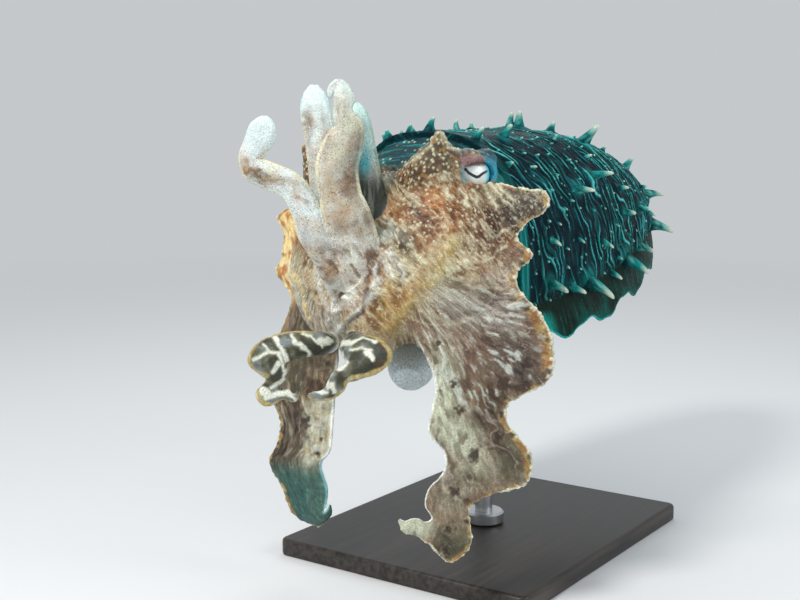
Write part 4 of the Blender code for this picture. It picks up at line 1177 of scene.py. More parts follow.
PALETTE = {
    "mantle_black": (0.001, 0.010, 0.017),
    "mantle_green": (0.003, 0.026, 0.033),
    "mantle_teal": (0.010, 0.34, 0.31),
    "mantle_shine": (0.16, 0.62, 0.58),
    "tip_cream": (0.66, 0.72, 0.58),
    "orange": (0.42, 0.175, 0.05),
    "rust": (0.15, 0.058, 0.02),
    "umber": (0.062, 0.036, 0.018),
    "brown": (0.20, 0.145, 0.09),
    "cream": (0.68, 0.66, 0.46),
    "gold": (0.46, 0.35, 0.12),
    "yellow": (0.74, 0.58, 0.27),
    "ochre": (0.36, 0.17, 0.045),
    "tan": (0.40, 0.31, 0.175),
    "mauve": (0.10, 0.078, 0.064),
    "white": (0.82, 0.86, 0.80),
    "lilac": (0.68, 0.68, 0.62),
    "web_pale": (0.58, 0.64, 0.57),
    "pink_pale": (0.56, 0.47, 0.40),
    "cloud_brown": (0.155, 0.105, 0.06),
    "arm_teal": (0.42, 0.64, 0.60),
    "tip_white": (0.70, 0.82, 0.82),
    "lilac_brown": (0.23, 0.15, 0.105),
    "olive": (0.085, 0.085, 0.048),
    "dark_olive": (0.026, 0.028, 0.016),
    "fin_olive": (0.008, 0.022, 0.016),
    "neck_teal": (0.003, 0.24, 0.195),
    "nape": (0.003, 0.040, 0.052),
    "khaki": (0.52, 0.56, 0.41),
    "pink_brown": (0.22, 0.155, 0.10),
    "grey": (0.40, 0.46, 0.48),
    "grey_dark": (0.06, 0.085, 0.07),
    "cyan": (0.05, 0.52, 0.62),
    "bluish": (0.36, 0.40, 0.36),
    "lid_mauve_and_shadow": (0.22, 0.12, 0.125),
    "lid_teal": (0.006, 0.30, 0.46),
}

# Broad patches of colour on the head and the left web, in pixels of the photograph:
# (x, y, half width, half height, lean in degrees, colour, strength).
FRONT_PATCHES = [
    (436, 206, 38, 26, 30, "orange", 0.98),
    (416, 212, 26, 12, 30, "rust", 0.75),
    (466, 214, 22, 14, 10, "rust", 0.7),
    (480, 236, 18, 18, 0, "rust", 0.7),
    (474, 200, 16, 8, 20, "tan", 0.45),
    (456, 196, 9, 12, 0, "rust", 0.7),
    (440, 152, 26, 26, 0, "olive", 0.9),
    (384, 166, 19, 13, -25, "nape", 0.99),
    (414, 178, 26, 14, -20, "umber", 0.85),
    (385, 205, 14, 20, 30, "orange", 0.6),
    (424, 224, 14, 13, -30, "rust", 0.85),
    (404, 244, 9, 15, -20, "umber", 0.95),
    (386, 262, 8, 8, 0, "rust", 0.6),
    (384, 232, 14, 12, 0, "bluish", 0.95),
    (352, 262, 16, 14, 0, "white", 0.75),
    (374, 262, 12, 12, 0, "rust", 0.5),
    (398, 272, 16, 12, 0, "cream", 0.55),
    (384, 300, 16, 20, 30, "gold", 0.5),
    (345, 292, 18, 15, 0, "white", 0.75),
    (331, 268, 10, 9, 0, "orange", 0.98),
    (372, 296, 5, 14, 0, "umber", 0.6),
    (462, 254, 26, 16, -30, "khaki", 0.45),
    (440, 284, 22, 22, -50, "khaki", 0.5),
    (492, 226, 18, 26, 0, "rust", 0.95),
    (512, 214, 17, 18, 0, "mauve", 0.98),
    (534, 202, 16, 13, 0, "mauve", 0.97),
    (505, 252, 18, 14, 0, "rust", 0.85),
    (502, 276, 18, 12, 0, "lilac", 0.4),
    (460, 306, 32, 20, 0, "lilac", 0.5),
    (500, 316, 24, 16, 0, "lilac", 0.42),
    (530, 330, 14, 20, 0, "lilac_brown", 0.8),
    (520, 368, 26, 24, 0, "mauve", 0.92),
    (510, 346, 22, 18, 0, "mauve", 0.6),
    (470, 350, 20, 18, 0, "lilac_brown", 0.6),
    (440, 398, 18, 46, 0, "khaki", 0.95),
    (458, 436, 20, 20, 0, "khaki", 0.75),
    (486, 416, 14, 28, 20, "umber", 0.75),
    (512, 456, 20, 30, 0, "olive", 0.9),
    (474, 466, 22, 20, 0, "khaki", 0.5),
    (446, 488, 20, 14, 0, "olive", 0.4),
    (470, 482, 20, 12, 0, "olive", 0.5),
    (452, 545, 26, 22, 0, "olive", 0.98),
    (500, 432, 14, 22, 10, "umber", 0.7),
    (448, 512, 18, 14, 0, "brown", 0.5),
    (450, 500, 14, 12, 0, "khaki", 0.3),
    (462, 434, 18, 20, 0, "khaki", 0.4),
    (412, 528, 18, 15, 0, "khaki", 0.98),
]
DARK_SPOTS = [
    (455, 384, 4.5), (459, 412, 5.5), (475, 454, 7), (454, 493, 6), (450, 530, 5), (446, 552, 4),
    (305, 421, 6), (329, 363, 4.5), (439, 343, 3), (318, 455, 3), (321, 440, 2.5), (466, 520, 4),
]

# Folds and creases in pixels: how wide, how far raised or sunk in mm, colour, strength, path.
FRONT_LINES = [
    (8.5, 1.5, "gold", 0.75, [(452, 246), (441, 262), (430, 280), (410, 303), (391, 326)]),
    (6, 0.6, "orange", 0.3, [(440, 250), (424, 272), (404, 298), (384, 322)]),
    (5, 2.2, "white", 0.9, [(352, 257), (362, 266), (356, 282), (346, 296), (338, 310)]),
    (4, 1.8, "white", 0.9, [(329, 283), (338, 291), (336, 305), (337, 328)]),
    (4, 1.4, "white", 0.8, [(372, 262), (378, 280), (366, 300), (352, 318), (338, 330)]),
    (3.6, 1.4, "white", 0.75, [(390, 252), (399, 264), (404, 276)]),
    (3.2, 1.2, "white", 0.7, [(379, 252), (386, 264), (392, 278)]),
    (2.2, 1.2, "cream", 0.8, [(410, 244), (418, 256), (424, 264)]),
    (2.2, -1.2, "umber", 0.7, [(396, 258), (402, 274), (400, 286)]),
    (3, -2.0, "umber", 0.9, [(366, 258), (368, 292), (360, 313), (345, 328)]),
    (2.5, -1.4, "rust", 0.8, [(343, 262), (348, 280), (340, 300)]),
    (2, -0.9, "rust", 0.8, [(322, 277), (343, 277)]),
    (2, -0.9, "rust", 0.8, [(321, 282), (345, 284)]),
    (2, -0.9, "rust", 0.8, [(322, 291), (347, 293)]),
    (4, 1.2, "lilac", 0.8, [(318, 262), (320, 282), (324, 302), (330, 324)]),
    (3, 1.0, "yellow", 0.9, [(294, 272), (301, 292), (310, 318)]),
    (2.5, 0.7, "cream", 0.7, [(290, 262), (292, 282), (296, 300)]),
    (2, 0.8, "cream", 0.95, [(460, 189), (464, 196), (468, 206)]),
    (2, 0.8, "cream", 0.95, [(472, 190), (475, 197), (478, 206)]),
    (2, 0.8, "cream", 0.95, [(484, 188), (491, 197), (497, 206)]),
    (2, 0.8, "cream", 0.95, [(489, 184), (498, 193), (505, 203)]),
    (2, 0.8, "cream", 0.95, [(494, 182), (504, 191), (514, 199)]),
    (2.5, 1.0, "cream", 0.9, [(443, 186), (447, 194), (451, 200)]),
    (1.6, 0.9, "cream", 0.5, [(404, 166), (418, 158), (430, 146), (436, 136)]),
    (2.5, 0.9, "cream", 0.8, [(442, 135), (450, 144), (459, 151)]),
    (2.0, 0.9, "cream", 0.8, [(492, 238), (500, 232), (508, 230)]),
    (2.0, 0.9, "cream", 0.7, [(470, 262), (484, 262), (496, 256), (506, 246)]),
    (2.4, 1.0, "cream", 0.8, [(384, 178), (392, 190), (402, 200)]),
    (2.0, 1.0, "cream", 0.7, [(388, 172), (398, 184), (410, 196), (418, 206)]),
]

# White bars and wavy margins of the two curled arms, in pixels: half width and path.
ZEBRA_LINES = [
    (3.0, [(275, 338), (281, 348), (287, 360)]),
    (2.4, [(291, 336), (300, 345), (310, 354)]),
    (2.0, [(304, 333), (313, 339), (322, 346)]),
    (4.4, [(320, 341), (329, 341)]),
    (2.0, [(254, 359), (267, 353), (280, 353)]),
    (1.2, [(263, 344), (268, 351)]),
    (1.6, [(279, 355), (285, 368), (282, 381), (271, 388)]),
    (3.4, [(278, 364), (273, 372)]),
    (4.0, [(262, 390), (268, 394)]),
    (2.4, [(266, 398), (278, 393), (288, 393), (297, 401), (302, 396), (304, 391)]),
    (1.8, [(339, 341), (338, 349), (343, 358)]),
    (3.8, [(343, 343), (350, 342)]),
    (1.5, [(347, 344), (362, 338), (376, 342)]),
    (1.3, [(350, 350), (362, 347), (370, 351)]),
    (3.0, [(366, 352), (372, 359)]),
    (1.8, [(344, 360), (335, 368), (329, 378), (328, 388)]),
    (3.0, [(346, 363), (341, 369)]),
    (3.6, [(332, 385), (334, 392)]),
    (2.3, [(303, 394), (315, 389), (326, 393)]),
]
# The sandy gold rims of the curled arms, in pixels.
ZEBRA_GOLD = [
    [(249, 356), (249, 364), (255, 372), (267, 376)],
    [(256, 392), (262, 403), (272, 406), (284, 401)],
    [(391, 350), (390, 362), (378, 374), (352, 378), (346, 383), (345, 391), (333, 400), (320, 402)],
]


def path_distance(x, y, path):
    """Distance in pixels from each point to a line through the path."""
    knots = np.array(path, float)
    best = np.full(len(x), 1e6)
    for a, b in zip(knots[:-1], knots[1:]):
        along = b - a
        share = np.clip(((x - a[0]) * along[0] + (y - a[1]) * along[1]) / (along @ along), 0, 1)
        best = np.minimum(best, np.hypot(x - a[0] - share * along[0], y - a[1] - share * along[1]))
    return best


def ellipse_share(x, y, cx, cy, wide, high, lean):
    """How far each point lies within a soft leaning ellipse."""
    turn = math.radians(lean)
    dx, dy = x - cx, y - cy
    across = (dx * math.cos(turn) + dy * math.sin(turn)) / wide
    down = (-dx * math.sin(turn) + dy * math.cos(turn)) / high
    return np.exp(-0.9 * (across**2 + down**2) ** 1.3)


def streaks(along, across, length, width, seed, octaves=2):
    """Noise drawn out along one direction."""
    flat = np.stack([along / length, across / width, np.full(len(along), 0.37 * seed)], axis=1)
    return cloud(flat, 1.0, seed, octaves)


def front_flow(x, y, points):
    """Coordinates along and across the streaks: leaning on the head, fanning out on the web."""
    x = x + 4.0 * cloud(points, 26.0, 45) + 0.8 * cloud(points, 6.0, 46)
    y = y + 4.0 * cloud(points, 26.0, 47) + 0.8 * cloud(points, 6.0, 48)
    c, s = math.cos(HEAD_STREAK_LEAN), math.sin(HEAD_STREAK_LEAN)
    dx, dy = x - WEB_CENTRE[0], y - WEB_CENTRE[1]
    return x * c + y * s, -x * s + y * c, np.hypot(dx, dy), np.arctan2(dy, dx) * WEB_FAN


def web_share(x, y):
    """Where the head's streaks give way to the ones that fan out over the left web."""
    beside = np.maximum(ramp(x + 0.87 * (y - 280), 432, 446), ramp(y, 345, 365))
    return ramp(y - 0.1 * (x - 412), 264, 286) * beside


def area_share(x, y, name):
    """How far each point lies within one of the named areas of the front."""
    return ellipse_share(x, y, *FRONT_AREAS[name])


def brow_share(x, y):
    """Where the brow over the left eye and the top of the head are granular, not streaked."""
    return ramp(area_share(x, y, "brow") + 0.9 * area_share(x, y, "crown"), 0.25, 0.55)


def front_ground(x, y, points, base, fan):
    """The broad colours of the head and webs: orange and rust clouds and the seen patches."""
    colour = layered(
        np.repeat(tone(base)[None], len(x), axis=0),
        ("orange", 0.6 * ramp(cloud(points, 15.0, 34), -0.2, 0.6) * (1 - fan)),
        ("rust", 0.75 * ramp(cloud(points, 8.0, 35), 0.2, 0.6) * (1 - 0.6 * fan)),
    )
    wander_x = x + 5.0 * cloud(points, 9.0, 31)
    wander_y = y + 5.0 * cloud(points, 9.0, 32)
    for *area, name, strength in FRONT_PATCHES:
        colour = mixed(colour, tone(name), strength * ellipse_share(wander_x, wander_y, *area))
    return colour


def front_streaks(x, y, points, fan):
    """Broad streaks, fine ones and veins, from (length, width, seed) on the head and the web."""
    head_along, head_across, radius, bearing = front_flow(x, y, points)
    found = []
    for head, web in FRONT_STREAKS:
        leaning = streaks(head_along, head_across, *head)
        found.append(leaning + fan * (streaks(radius, bearing, *web) - leaning))
    lines, fine, vein = found
    return lines, fine, ramp(np.abs(vein), 0.11, 0.02) * ramp(cloud(points, 11.0, 39), -0.3, 0.3)


def front_beads(colour, y, points, fan, shade, brow):
    """Adds pale beads over the head, and finer ones on the brow with umber and ochre between."""
    distance, which = cells(points, 3.4, 51)
    beads = ramp(distance, 0.34, 0.16) * (which > 0.5) * (1 - 0.75 * fan)
    beads = beads * (0.45 + 0.55 * ramp(y, 330, 180)) * (1 - 0.6 * shade)
    distance, which = cells(points, 2.2, 52)
    beads = np.maximum(beads, ramp(distance, 0.46, 0.26) * (which > 0.6) * brow)
    colour = layered(
        colour,
        ("umber", 0.8 * brow * (which < 0.45)),
        ("ochre", 0.6 * brow * (which > 0.45) * (which < 0.6)),
        ("cream", 0.85 * beads),
    )
    return colour, beads


def paint_front(x, y, points, base):
    """Colour and relief of the head and the webs from where they show in the photograph."""
    fan, brow = web_share(x, y), brow_share(x, y)
    shade, plain = area_share(x, y, "shaded cheek"), area_share(x, y, "plain web")
    outer = fan * ramp(y, 410, 385) * ramp(x, 425, 455)
    low = ramp(y, 392, 420)
    lines, fine, vein = front_streaks(x, y, points, fan)
    clump = 0.45 + 0.55 * ramp(cloud(points, 13.0, 36), -0.45, 0.25)
    dark = ramp(lines, 0.02, 0.42) * 0.92 * clump * (1 - 0.7 * brow)
    pale = ramp(-lines - 0.35 * fine + 0.12 * outer - 0.25 * plain, 0.34, 0.7)
    pale = pale * clump * (1 - 0.85 * brow) * (1 - 0.45 * shade) * (1 - 0.8 * low)
    vein = vein * (1 - brow) * (1 - 0.5 * low)
    colour = front_ground(x, y, points, base, fan)
    colour = mixed(colour, colour * mixed(*STREAK_DARKENING, fan), dark)
    colour = colour * (1 - 0.42 * shade - 0.16 * outer)[:, None]
    colour = layered(
        colour,
        (between("cream", "web_pale", fan), pale * (0.6 + 0.08 * fan)),
        (between("cream", "pink_pale", fan), (0.45 + 0.15 * fan) * vein),
        ("cream", 0.65 * ramp(fine, 0.45, 0.85) * (1 - fan) * (1 - 0.8 * brow)),
    )
    colour, beads = front_beads(colour, y, points, fan, shade, brow)
    raised = 0.6 * pale + 0.35 * vein + 0.8 * beads - 0.45 * dark + 0.3 * ramp(fine, 0.35, 0.8) * (1 - brow)
    return colour, raised


def paint_lines(x, y, facing, colour, raised):
    """Adds the folds, the creases and the dark spots that face the camera."""
    flat = np.stack([x, y, 0 * x], axis=1)
    uneven = 0.5 + 0.5 * ramp(cloud(flat, 5.0, 161), -0.4, 0.3)
    x, y = x + 2.2 * cloud(flat, 7.0, 162), y + 2.2 * cloud(flat, 7.0, 163)
    for width, lift, name, strength, path in FRONT_LINES:
        share = np.exp(-((path_distance(x, y, path) / width) ** 2)) * ramp(facing, 0.0, 0.3) * uneven
        colour = mixed(colour, tone(name), strength * share)
        raised = raised + lift * share
    return colour, raised


def paint_spots(x, y, facing, colour):
    """Adds the dark round spots with their faint pale rings, where they face the camera."""
    uneven = 0.55 * cloud(np.stack([x, y, 0 * x], axis=1), 3.0, 164)
    seen = facing > 0
    for cx, cy, radius in DARK_SPOTS:
        distance = np.hypot(x - cx, (y - cy) * 0.85) / radius + uneven
        ring = np.exp(-(((distance - 1.25) / 0.25) ** 2))
        spot = (tone("umber") * 0.6, 0.92 * ramp(distance, 1.1, 0.3) * seen)
        colour = layered(colour, ("cream", 0.1 * ring * seen), spot)
    return colour


def paint_blade(x, y, points, u, v, mottle):
    """The right arm's blade: streaked umber, flushed at its root, chalky and spotted farther in, painted
    shade at its lower end.
    """
    along, across = u * BLADE_SPAN[0], v * BLADE_SPAN[1] + 1.2 * mottle
    lines = streaks(along + 3 * mottle, across, 12.0, 1.9, 61)
    fine = streaks(along, across, 6.0, 1.2, 68)
    patchy = ramp(lines + 0.5 * cloud(points, 14.0, 62), -0.35, 0.35)
    colour = layered(
        mixed(tone("brown") * 0.85, tone("umber"), patchy),
        ("olive", 0.6 * ramp(cloud(points, 20.0, 69), 0.0, 0.5)),
        ("cream", 0.5 * ramp(-lines - 0.3 * fine, 0.3, 0.7) * ramp(y, 350, 392)),
        ("tan", 0.35 * ramp(fine, 0.3, 0.7)),
    )
    colour = colour * (1 - 0.45 * ramp(y, 398, 415))[:, None]
    pale = ramp(v + 0.08 * mottle, 0.5, 0.72) * ramp(x + 0.4 * mottle, 296, 306)
    pale = pale * ramp(y + 0.5 * (x - 320), 388, 402)
    chalk = between("cream", "white", 0.6 * ramp(cloud(points, 5.0, 66), -0.2, 0.5))
    spotted = mixed(chalk * 0.74, tone("tan"), 0.85 * ramp(cloud(points, 2.6, 70), 0.1, 0.6))
    flush = between("yellow", "orange", ramp(mottle + 0.5 * lines, -0.1, 0.6))
    strip = ramp(0.34 - u, 0.0, 0.08)
    colour = layered(
        colour,
        (spotted, 0.85 * pale),
        (flush * 1.3, 0.85 * strip),
        ("umber", 0.7 * ramp(y, 385, 360) * ramp(x, 300, 312) * (1 - strip)),
        # Painted shade: dark teal-grey over the blade's lower end.
        (mixed(tone("neck_teal") * 0.5, tone("grey_dark") * 0.7, 0.4), 0.92 * ramp(y, 455, 478)),
    )
    return colour, 0.6 * ramp(-lines, 0.1, 0.7) - 0.4 * ramp(lines, 0.2, 0.7)


def paint_lower(x, y, points, lay, right):
    """The two hanging arms: webs like the head, streaked blades, spotted rims, pale far faces."""
    u, v, w = lay.T
    mottle = cloud(points, 5.0, 64)
    if right:
        colour, raised = paint_blade(x, y, points, u, v, mottle)
    else:
        colour, raised = paint_front(x, y, points, "pink_brown")
    free = 1 - area_share(x, y, "joined rim") * (1 - right)
    rim = ramp(v, 0.13, 0.05) * ramp(mottle, -0.25, 0.25) * free
    bead_distance, _ = cells(points, 3.1, 67)
    lip = ramp(v + 0.03 * ramp(bead_distance, 0.2, 0.6), 0.052, 0.028) * free
    border = mixed(tone("white"), tone("cyan") * 0.7, 0.8 * right * ramp(y, 452, 466))
    far = ramp(-w, -0.4, 0.4)
    under = between("lilac", "white", ramp(cloud(points, 12.0, 65), -0.5, 0.6))
    under = mixed(under, tone("tan"), 0.35 * ramp(v, 0.3, 0.0))
    colour = layered(
        colour,
        (between("gold", "ochre", ramp(mottle, 0.1, 0.6)), 0.8 * rim),
        (between("cream", "white", 0.4 * ramp(mottle, -0.5, 0.5)), 0.92 * lip),
        (border, 0.95 * ramp(v, 0.965, 0.985) * ramp(y, 340, 400)),
        (under, far * ramp(u, 0.02, 0.12)),
    )
    raised = raised * (1 - far) + 1.2 * ramp(v, 0.07, 0.02) * ramp(bead_distance, 0.7, 0.15)
    return colour, raised


RAISED_PATCHES = [
    (353, 174, 15, 28, 10, "cloud_brown", 0.98), (362, 146, 9, 28, 0, "cloud_brown", 0.85),
    (348, 186, 10, 10, 0, "lilac_brown", 0.6), (338, 150, 8, 9, 0, "khaki", 0.5),
    (336, 217, 13, 6, -10, "ochre", 0.5), (350, 228, 14, 7, 0, "lilac_brown", 0.6),
    (372, 218, 8, 10, 0, "brown", 0.8), (300, 196, 16, 4, 50, "lilac_brown", 0.6),
    (300, 240, 5, 20, -20, "brown", 0.35), (268, 180, 16, 5, 10, "tan", 0.7),
    (345, 160, 6, 6, 0, "bluish", 0.5), (340, 172, 5, 6, 0, "bluish", 0.4),
    (352, 122, 12, 12, 0, "khaki", 0.7), (346, 96, 10, 14, 0, "khaki", 0.45),
    (346, 92, 11, 16, 0, "bluish", 0.3),
    (254, 174, 14, 10, 30, "cloud_brown", 0.95), (246, 164, 7, 10, 0, "ochre", 0.6),
    (282, 181, 22, 6, 5, "brown", 0.4), (270, 170, 10, 5, 20, "khaki", 0.6),
    (302, 184, 9, 14, 40, "tan", 0.3), (309, 110, 4, 18, 0, "lilac_brown", 0.85),
    (308, 140, 4, 20, 0, "lilac_brown", 0.55), (326, 140, 4, 18, 0, "lilac_brown", 0.45),
    (313, 174, 5, 22, 0, "lilac_brown", 0.4), (303, 226, 7, 26, -20, "lilac_brown", 0.3),
    (322, 238, 8, 18, -20, "tan", 0.4), (362, 235, 14, 10, 0, "tan", 0.6),
]


def raised_ground(x, y, facing, points, v, arm):
    """The raised arms' lilac white with its clouds of tan and brown and the seen patches."""
    second = arm == ARM_NAMES.index("arm_right_2")
    chalky = np.maximum(arm == ARM_NAMES.index("arm_right_1"), 1.5 * second)
    white = ramp(cloud(points, 9.0, 71), -0.35 - 0.4 * chalky, 0.5 - 0.4 * chalky)
    flecks = ramp(cloud(points, 6.0, 77), 0.05, 0.6) * (facing > -0.2)
    band = np.exp(-(((np.abs(v) - 0.45) / 0.22) ** 2)) * ramp(cloud(points, 10.0, 72), -0.4, 0.4)
    leaf = arm == ARM_NAMES.index("arm_left_1")
    colour = layered(
        np.repeat(tone("lilac")[None], len(x), axis=0),
        ("tip_white", 0.9 * white),
        ("tan", 0.4 * flecks * (1 - 0.7 * second)),
        ("lilac_brown", 0.45 * band * (1 - 0.6 * second)),
        ("tan", 0.5 * leaf * window(y, 108, 135, 212, 240)),
    )
    wander = 4.0 * cloud(points, 6.0, 73)
    grain = 0.75 + 0.4 * ramp(cloud(points, 2.4, 76), -0.5, 0.5)
    for *area, name, strength in RAISED_PATCHES:
        share = strength * ellipse_share(x + wander, y - wander, *area) * (facing > 0)
        colour = mixed(colour, tone(name), np.clip(share * grain, 0, 1))
    return mixed(colour, tone("white"), 0.5 * ramp(-facing, 0.1, 0.5))


def raised_edges(colour, x, y, points, u, v, arm):
    """Adds cream keels, white tips, a painted cyan glint, and the teal arm behind with painted shade lower
    down.
    """
    leaf, behind = arm == ARM_NAMES.index("arm_left_1"), arm == ARM_NAMES.index("arm_left_2")
    edge = ramp(np.abs(v), 0.88, 0.97) * (0.35 + 0.65 * ramp(cloud(points, 12.0, 78), -0.3, 0.3))
    glint = np.exp(-(np.hypot((x - 365) / 7, (y - 164) / 15) ** 2))
    streak = ramp(streaks(y, x, 26.0, 2.6, 74), -0.1, 0.5)
    return layered(
        colour,
        (tone("arm_teal") * 1.2, 0.8 * behind * ramp(y, 175, 140)),
        (tone("cream") * 1.12, 0.8 * edge),
        ("tip_white", (0.92 - 0.72 * leaf - 0.8 * behind) * ramp(u, 0.82, 0.93)),
        ("cyan", 0.4 * edge * ramp(y, 130, 90)),
        ("cyan", 0.85 * glint),
        ("neck_teal", 0.75 * behind * edge * ramp(x, 355, 365)),
        # Painted shade: dark grey with bluish streaks over the lower part of the arm behind.
        (mixed(tone("grey_dark") * 0.6, tone("bluish"), 0.6 * streak), 0.95 * behind * ramp(y, 165, 190)),
    )


def paint_raised(x, y, facing, points, lay, arm):
    """The raised arms: lilac white with dotted clouds, cream keels and white tips."""
    u, v, w = lay.T
    colour = raised_ground(x, y, facing, points, v, arm)
    colour = raised_edges(colour, x, y, points, u, v, arm)
    front, lift = paint_front(x, y, points, "lilac")
    root = ramp(y, 236, 256) * (facing > -0.2)
    wrinkle = streaks(u * 160.0, v * 9.0, 1.6, 14.0, 75)
    keel = ramp(np.abs(v), 0.93, 0.995) * ramp(u, 0.985, 0.9)
    raised = 0.16 * wrinkle + 1.1 * keel - 0.7 * ramp(np.abs(w), 0.5, 1.0) * ramp(u, 0.15, 0.35)
    return mixed(colour, front, 0.9 * root), raised * (1 - root) + lift * root


def zebra_ground(x, facing, seen, points, u):
    """The curled arms' clouded olive, paler at the root, barred where the camera can't see."""
    cloudy = cloud(points, 7.0, 81)
    phase = np.cos(2 * math.pi * (u * 11.0 + 0.35 * cloud(points, 9.0, 82)))
    olive = ramp(cloudy + 0.4 * cloud(points, 3.0, 86), -0.7, 0.1)
    return layered(
        mixed(tone("grey") * 0.5, tone("olive") * 1.3, olive),
        ("dark_olive", 0.85 * ramp(cloudy, -0.2, 0.4)),
        (tone("dark_olive") * 1.1, 0.9 * ramp(x, 360, 372) * seen),
        ("rust", 0.7 * ramp(x, 372, 382) * ramp(cloudy, -0.5, 0.3)),
        ("white", 0.9 * ramp(u, 0.16, 0.04)),
        ("white", 0.85 * ramp(phase, 0.72, 0.92) * (facing < 0.1)),
    )


def paint_zebra(x, y, facing, points, lay):
    """The two curled arms: olive brown with white bars and margins and sandy gold rims."""
    u, v, _ = lay.T
    seen = ramp(facing, -0.15, 0.1)
    colour = zebra_ground(x, facing, seen, points, u)
    wander = 1.6 * cloud(points, 5.0, 83)
    swell = 0.85 + 0.35 * cloud(points, 6.0, 84)
    for half_width, path in ZEBRA_LINES:
        distance = path_distance(x + wander, y - wander, path)
        width = 0.82 * half_width * swell
        colour = layered(
            colour,
            ("khaki", 0.5 * ramp(distance, width + 1.8, width) * seen),
            (between("white", "cream", 0.35), 0.95 * ramp(distance, width + 0.4, width - 0.5) * seen),
        )
    sand = between("gold", "cream", 0.5 * ramp(cloud(points, 1.8, 87), -0.2, 0.6))
    for path in ZEBRA_GOLD:
        colour = mixed(colour, sand, 0.9 * ramp(path_distance(x + wander, y, path), 3.6, 1.6))
    colour = mixed(colour, sand, 0.85 * ramp(v, 0.10, 0.03) * ramp(u, 0.2, 0.35))
    keel = ramp(v, 0.06, 0.0) + ramp(v, 0.94, 1.0)
    return colour, 0.12 * cloud(points, 1.6, 85) + 0.5 * keel


def mantle_lay(lay):
    """Share of length, angle from the back's midline, and how far out on the flank."""
    angle = np.arctan2(lay[:, 2], lay[:, 1])
    return lay[:, 0], angle, np.abs(angle) / FLANK_ANGLE


def ridge_place(share, out):
    """Place across the skin's ridges, which run out, down and back from the midline, in mm."""
    return MANTLE_LENGTH * (share - RIDGE_SWEEP * out)


def drawn_to_papillae(points, across):
    """Draws the ridges in towards each big papilla and raises the skin round its foot."""
    share, angle, height = papilla_places().T
    big = height > 3.2
    share, angle, height = share[big], angle[big], height[big]
    feet = mantle_points(share, angle)
    goals = ridge_place(share, np.abs(angle) / FLANK_ANGLE)
    raised = np.zeros(len(points))
    for foot, goal, tall in zip(feet, goals, height):
        near = np.flatnonzero(np.abs(points - foot).max(axis=1) < 3.0 + 2.2 * tall + 8.0)
        gap = np.linalg.norm(points[near] - foot, axis=1)
        pull = 0.85 * np.exp(-((gap / (5.0 + 0.9 * tall)) ** 2))
        across[near] += pull * (goal - across[near])
        raised[near] = np.maximum(raised[near], 0.28 * tall * np.exp(-((gap / (1.6 + 0.55 * tall)) ** 2)))
    return across, raised


def mantle_pattern(points, share, out):
    """The mantle's ridges, their shine and brightness, the threads between, and the mounds."""
    across, mounds = drawn_to_papillae(points, ridge_place(share, out))
    across = across + 3.5 * cloud(points, 22.0, 91) + 0.9 * cloud(points, 6.0, 97)
    along = out * FLANK_SPAN
    wave = np.cos(2 * math.pi * (across + 1.6 * cloud(points, 15.0, 99)) / RIDGE_PITCH)
    broken = cloud(np.stack([across / 4.5, along / 15.0, 0 * along], axis=1), 1.0, 92)
    ridge = ramp(wave, 0.5, 0.96) * ramp(broken, -0.4, 0.35)
    thread = ramp(streaks(along, across, 13.0, 1.5, 93), 0.35, 0.75)
    whole = ramp(broken, 0.0, 0.5)
    bright = np.clip(0.95 * ridge * (0.55 + 0.45 * whole) + 0.32 * thread, 0, 0.97)
    return ridge, ramp(wave, 0.86, 0.99) * whole, bright, thread, mounds


def mantle_rim(colour, share, out):
    """Adds the mantle's green and teal rim, its cyan double line and its dark inside."""
    rim = mixed(tone("mantle_green"), tone("neck_teal") * 0.7, ramp(out, 0.4, 1.0))
    colour = mixed(colour, rim, 0.8 * ramp(share, 0.03, 0.018))
    for place, width in ((0.001, 0.003), (0.019, 0.0022)):
        line = np.exp(-(((share - place) / width) ** 2)) * ramp(out, 0.55, 1.1)
        colour = mixed(colour, tone("cyan") * 0.7, 0.75 * line)
    inside = between("mantle_black", "neck_teal", ramp(out, 0.5, 1.1))
    return mixed(colour, inside, ramp(share, -0.004, -0.02))


def paint_mantle(points, lay):
    """Near-black green with raised turquoise ridges, a cyan double rim and a plain belly."""
    share, angle, out = mantle_lay(lay)
    ridge, shine, bright, thread, mounds = mantle_pattern(points, share, out)
    back = ramp(np.abs(angle), 1.74, 1.5)
    light = 0.45 + 0.55 * ramp(cloud(points, 26.0, 90), -0.45, 0.25)
    distance, which = cells(points, 3.4, 95)
    bead = ramp(distance, 0.3, 0.15) * (which > 0.9) * back
    belly = mixed(tone("fin_olive"), tone("neck_teal") * 0.5, ramp(cloud(points, 14.0, 96), -0.2, 0.7))
    lit = between("mantle_teal", "cyan", 0.45 * ramp(cloud(points, 30.0, 98), -0.3, 0.5))
    colour = layered(
        between("mantle_black", "mantle_green", 0.7 * ramp(cloud(points, 12.0, 94), -0.1, 0.8)),
        (lit, back * light * bright),
        ("mantle_shine", 0.85 * light * shine * back),
        ("mantle_teal", 0.35 * back * ramp(mounds, 0.5, 3.0)),
        ("mantle_shine", 0.7 * bead),
        (belly, (1 - back) * 0.95),
    )
    raised = back * (1.15 * ridge + 0.3 * thread + 0.5 * bead + mounds) * ramp(share, 0.02, 0.05)
    return mantle_rim(colour, share, out), raised


def paint_fin(points, lay):
    """Dark olive with fine rays and a thin bright edge."""
    u, v, _ = lay.T
    rays = streaks(v * FIN_WIDTH, u * MANTLE_LENGTH, 16.0, 1.4, 101)
    outward = 0.6 * ramp(v + 0.3 * cloud(points, 12.0, 102), 0.6, 1.2)
    edge = ramp(v, 0.955, 0.985) * (0.35 + 0.65 * ramp(u, 0.45, 0.25))
    colour = layered(
        mixed(tone("fin_olive"), tone("neck_teal") * 0.5, outward),
        (tone("neck_teal") * 1.8, 0.8 * ramp(u, 0.11, 0.05) * ramp(v, 0.35, 0.8)),
        ("mantle_teal", 0.15 * ramp(rays, 0.2, 0.8) * ramp(v, 0.2, 0.8)),
        (tone("mantle_teal") * 1.3, 0.85 * edge),
    )
    return colour, 0.15 * rays


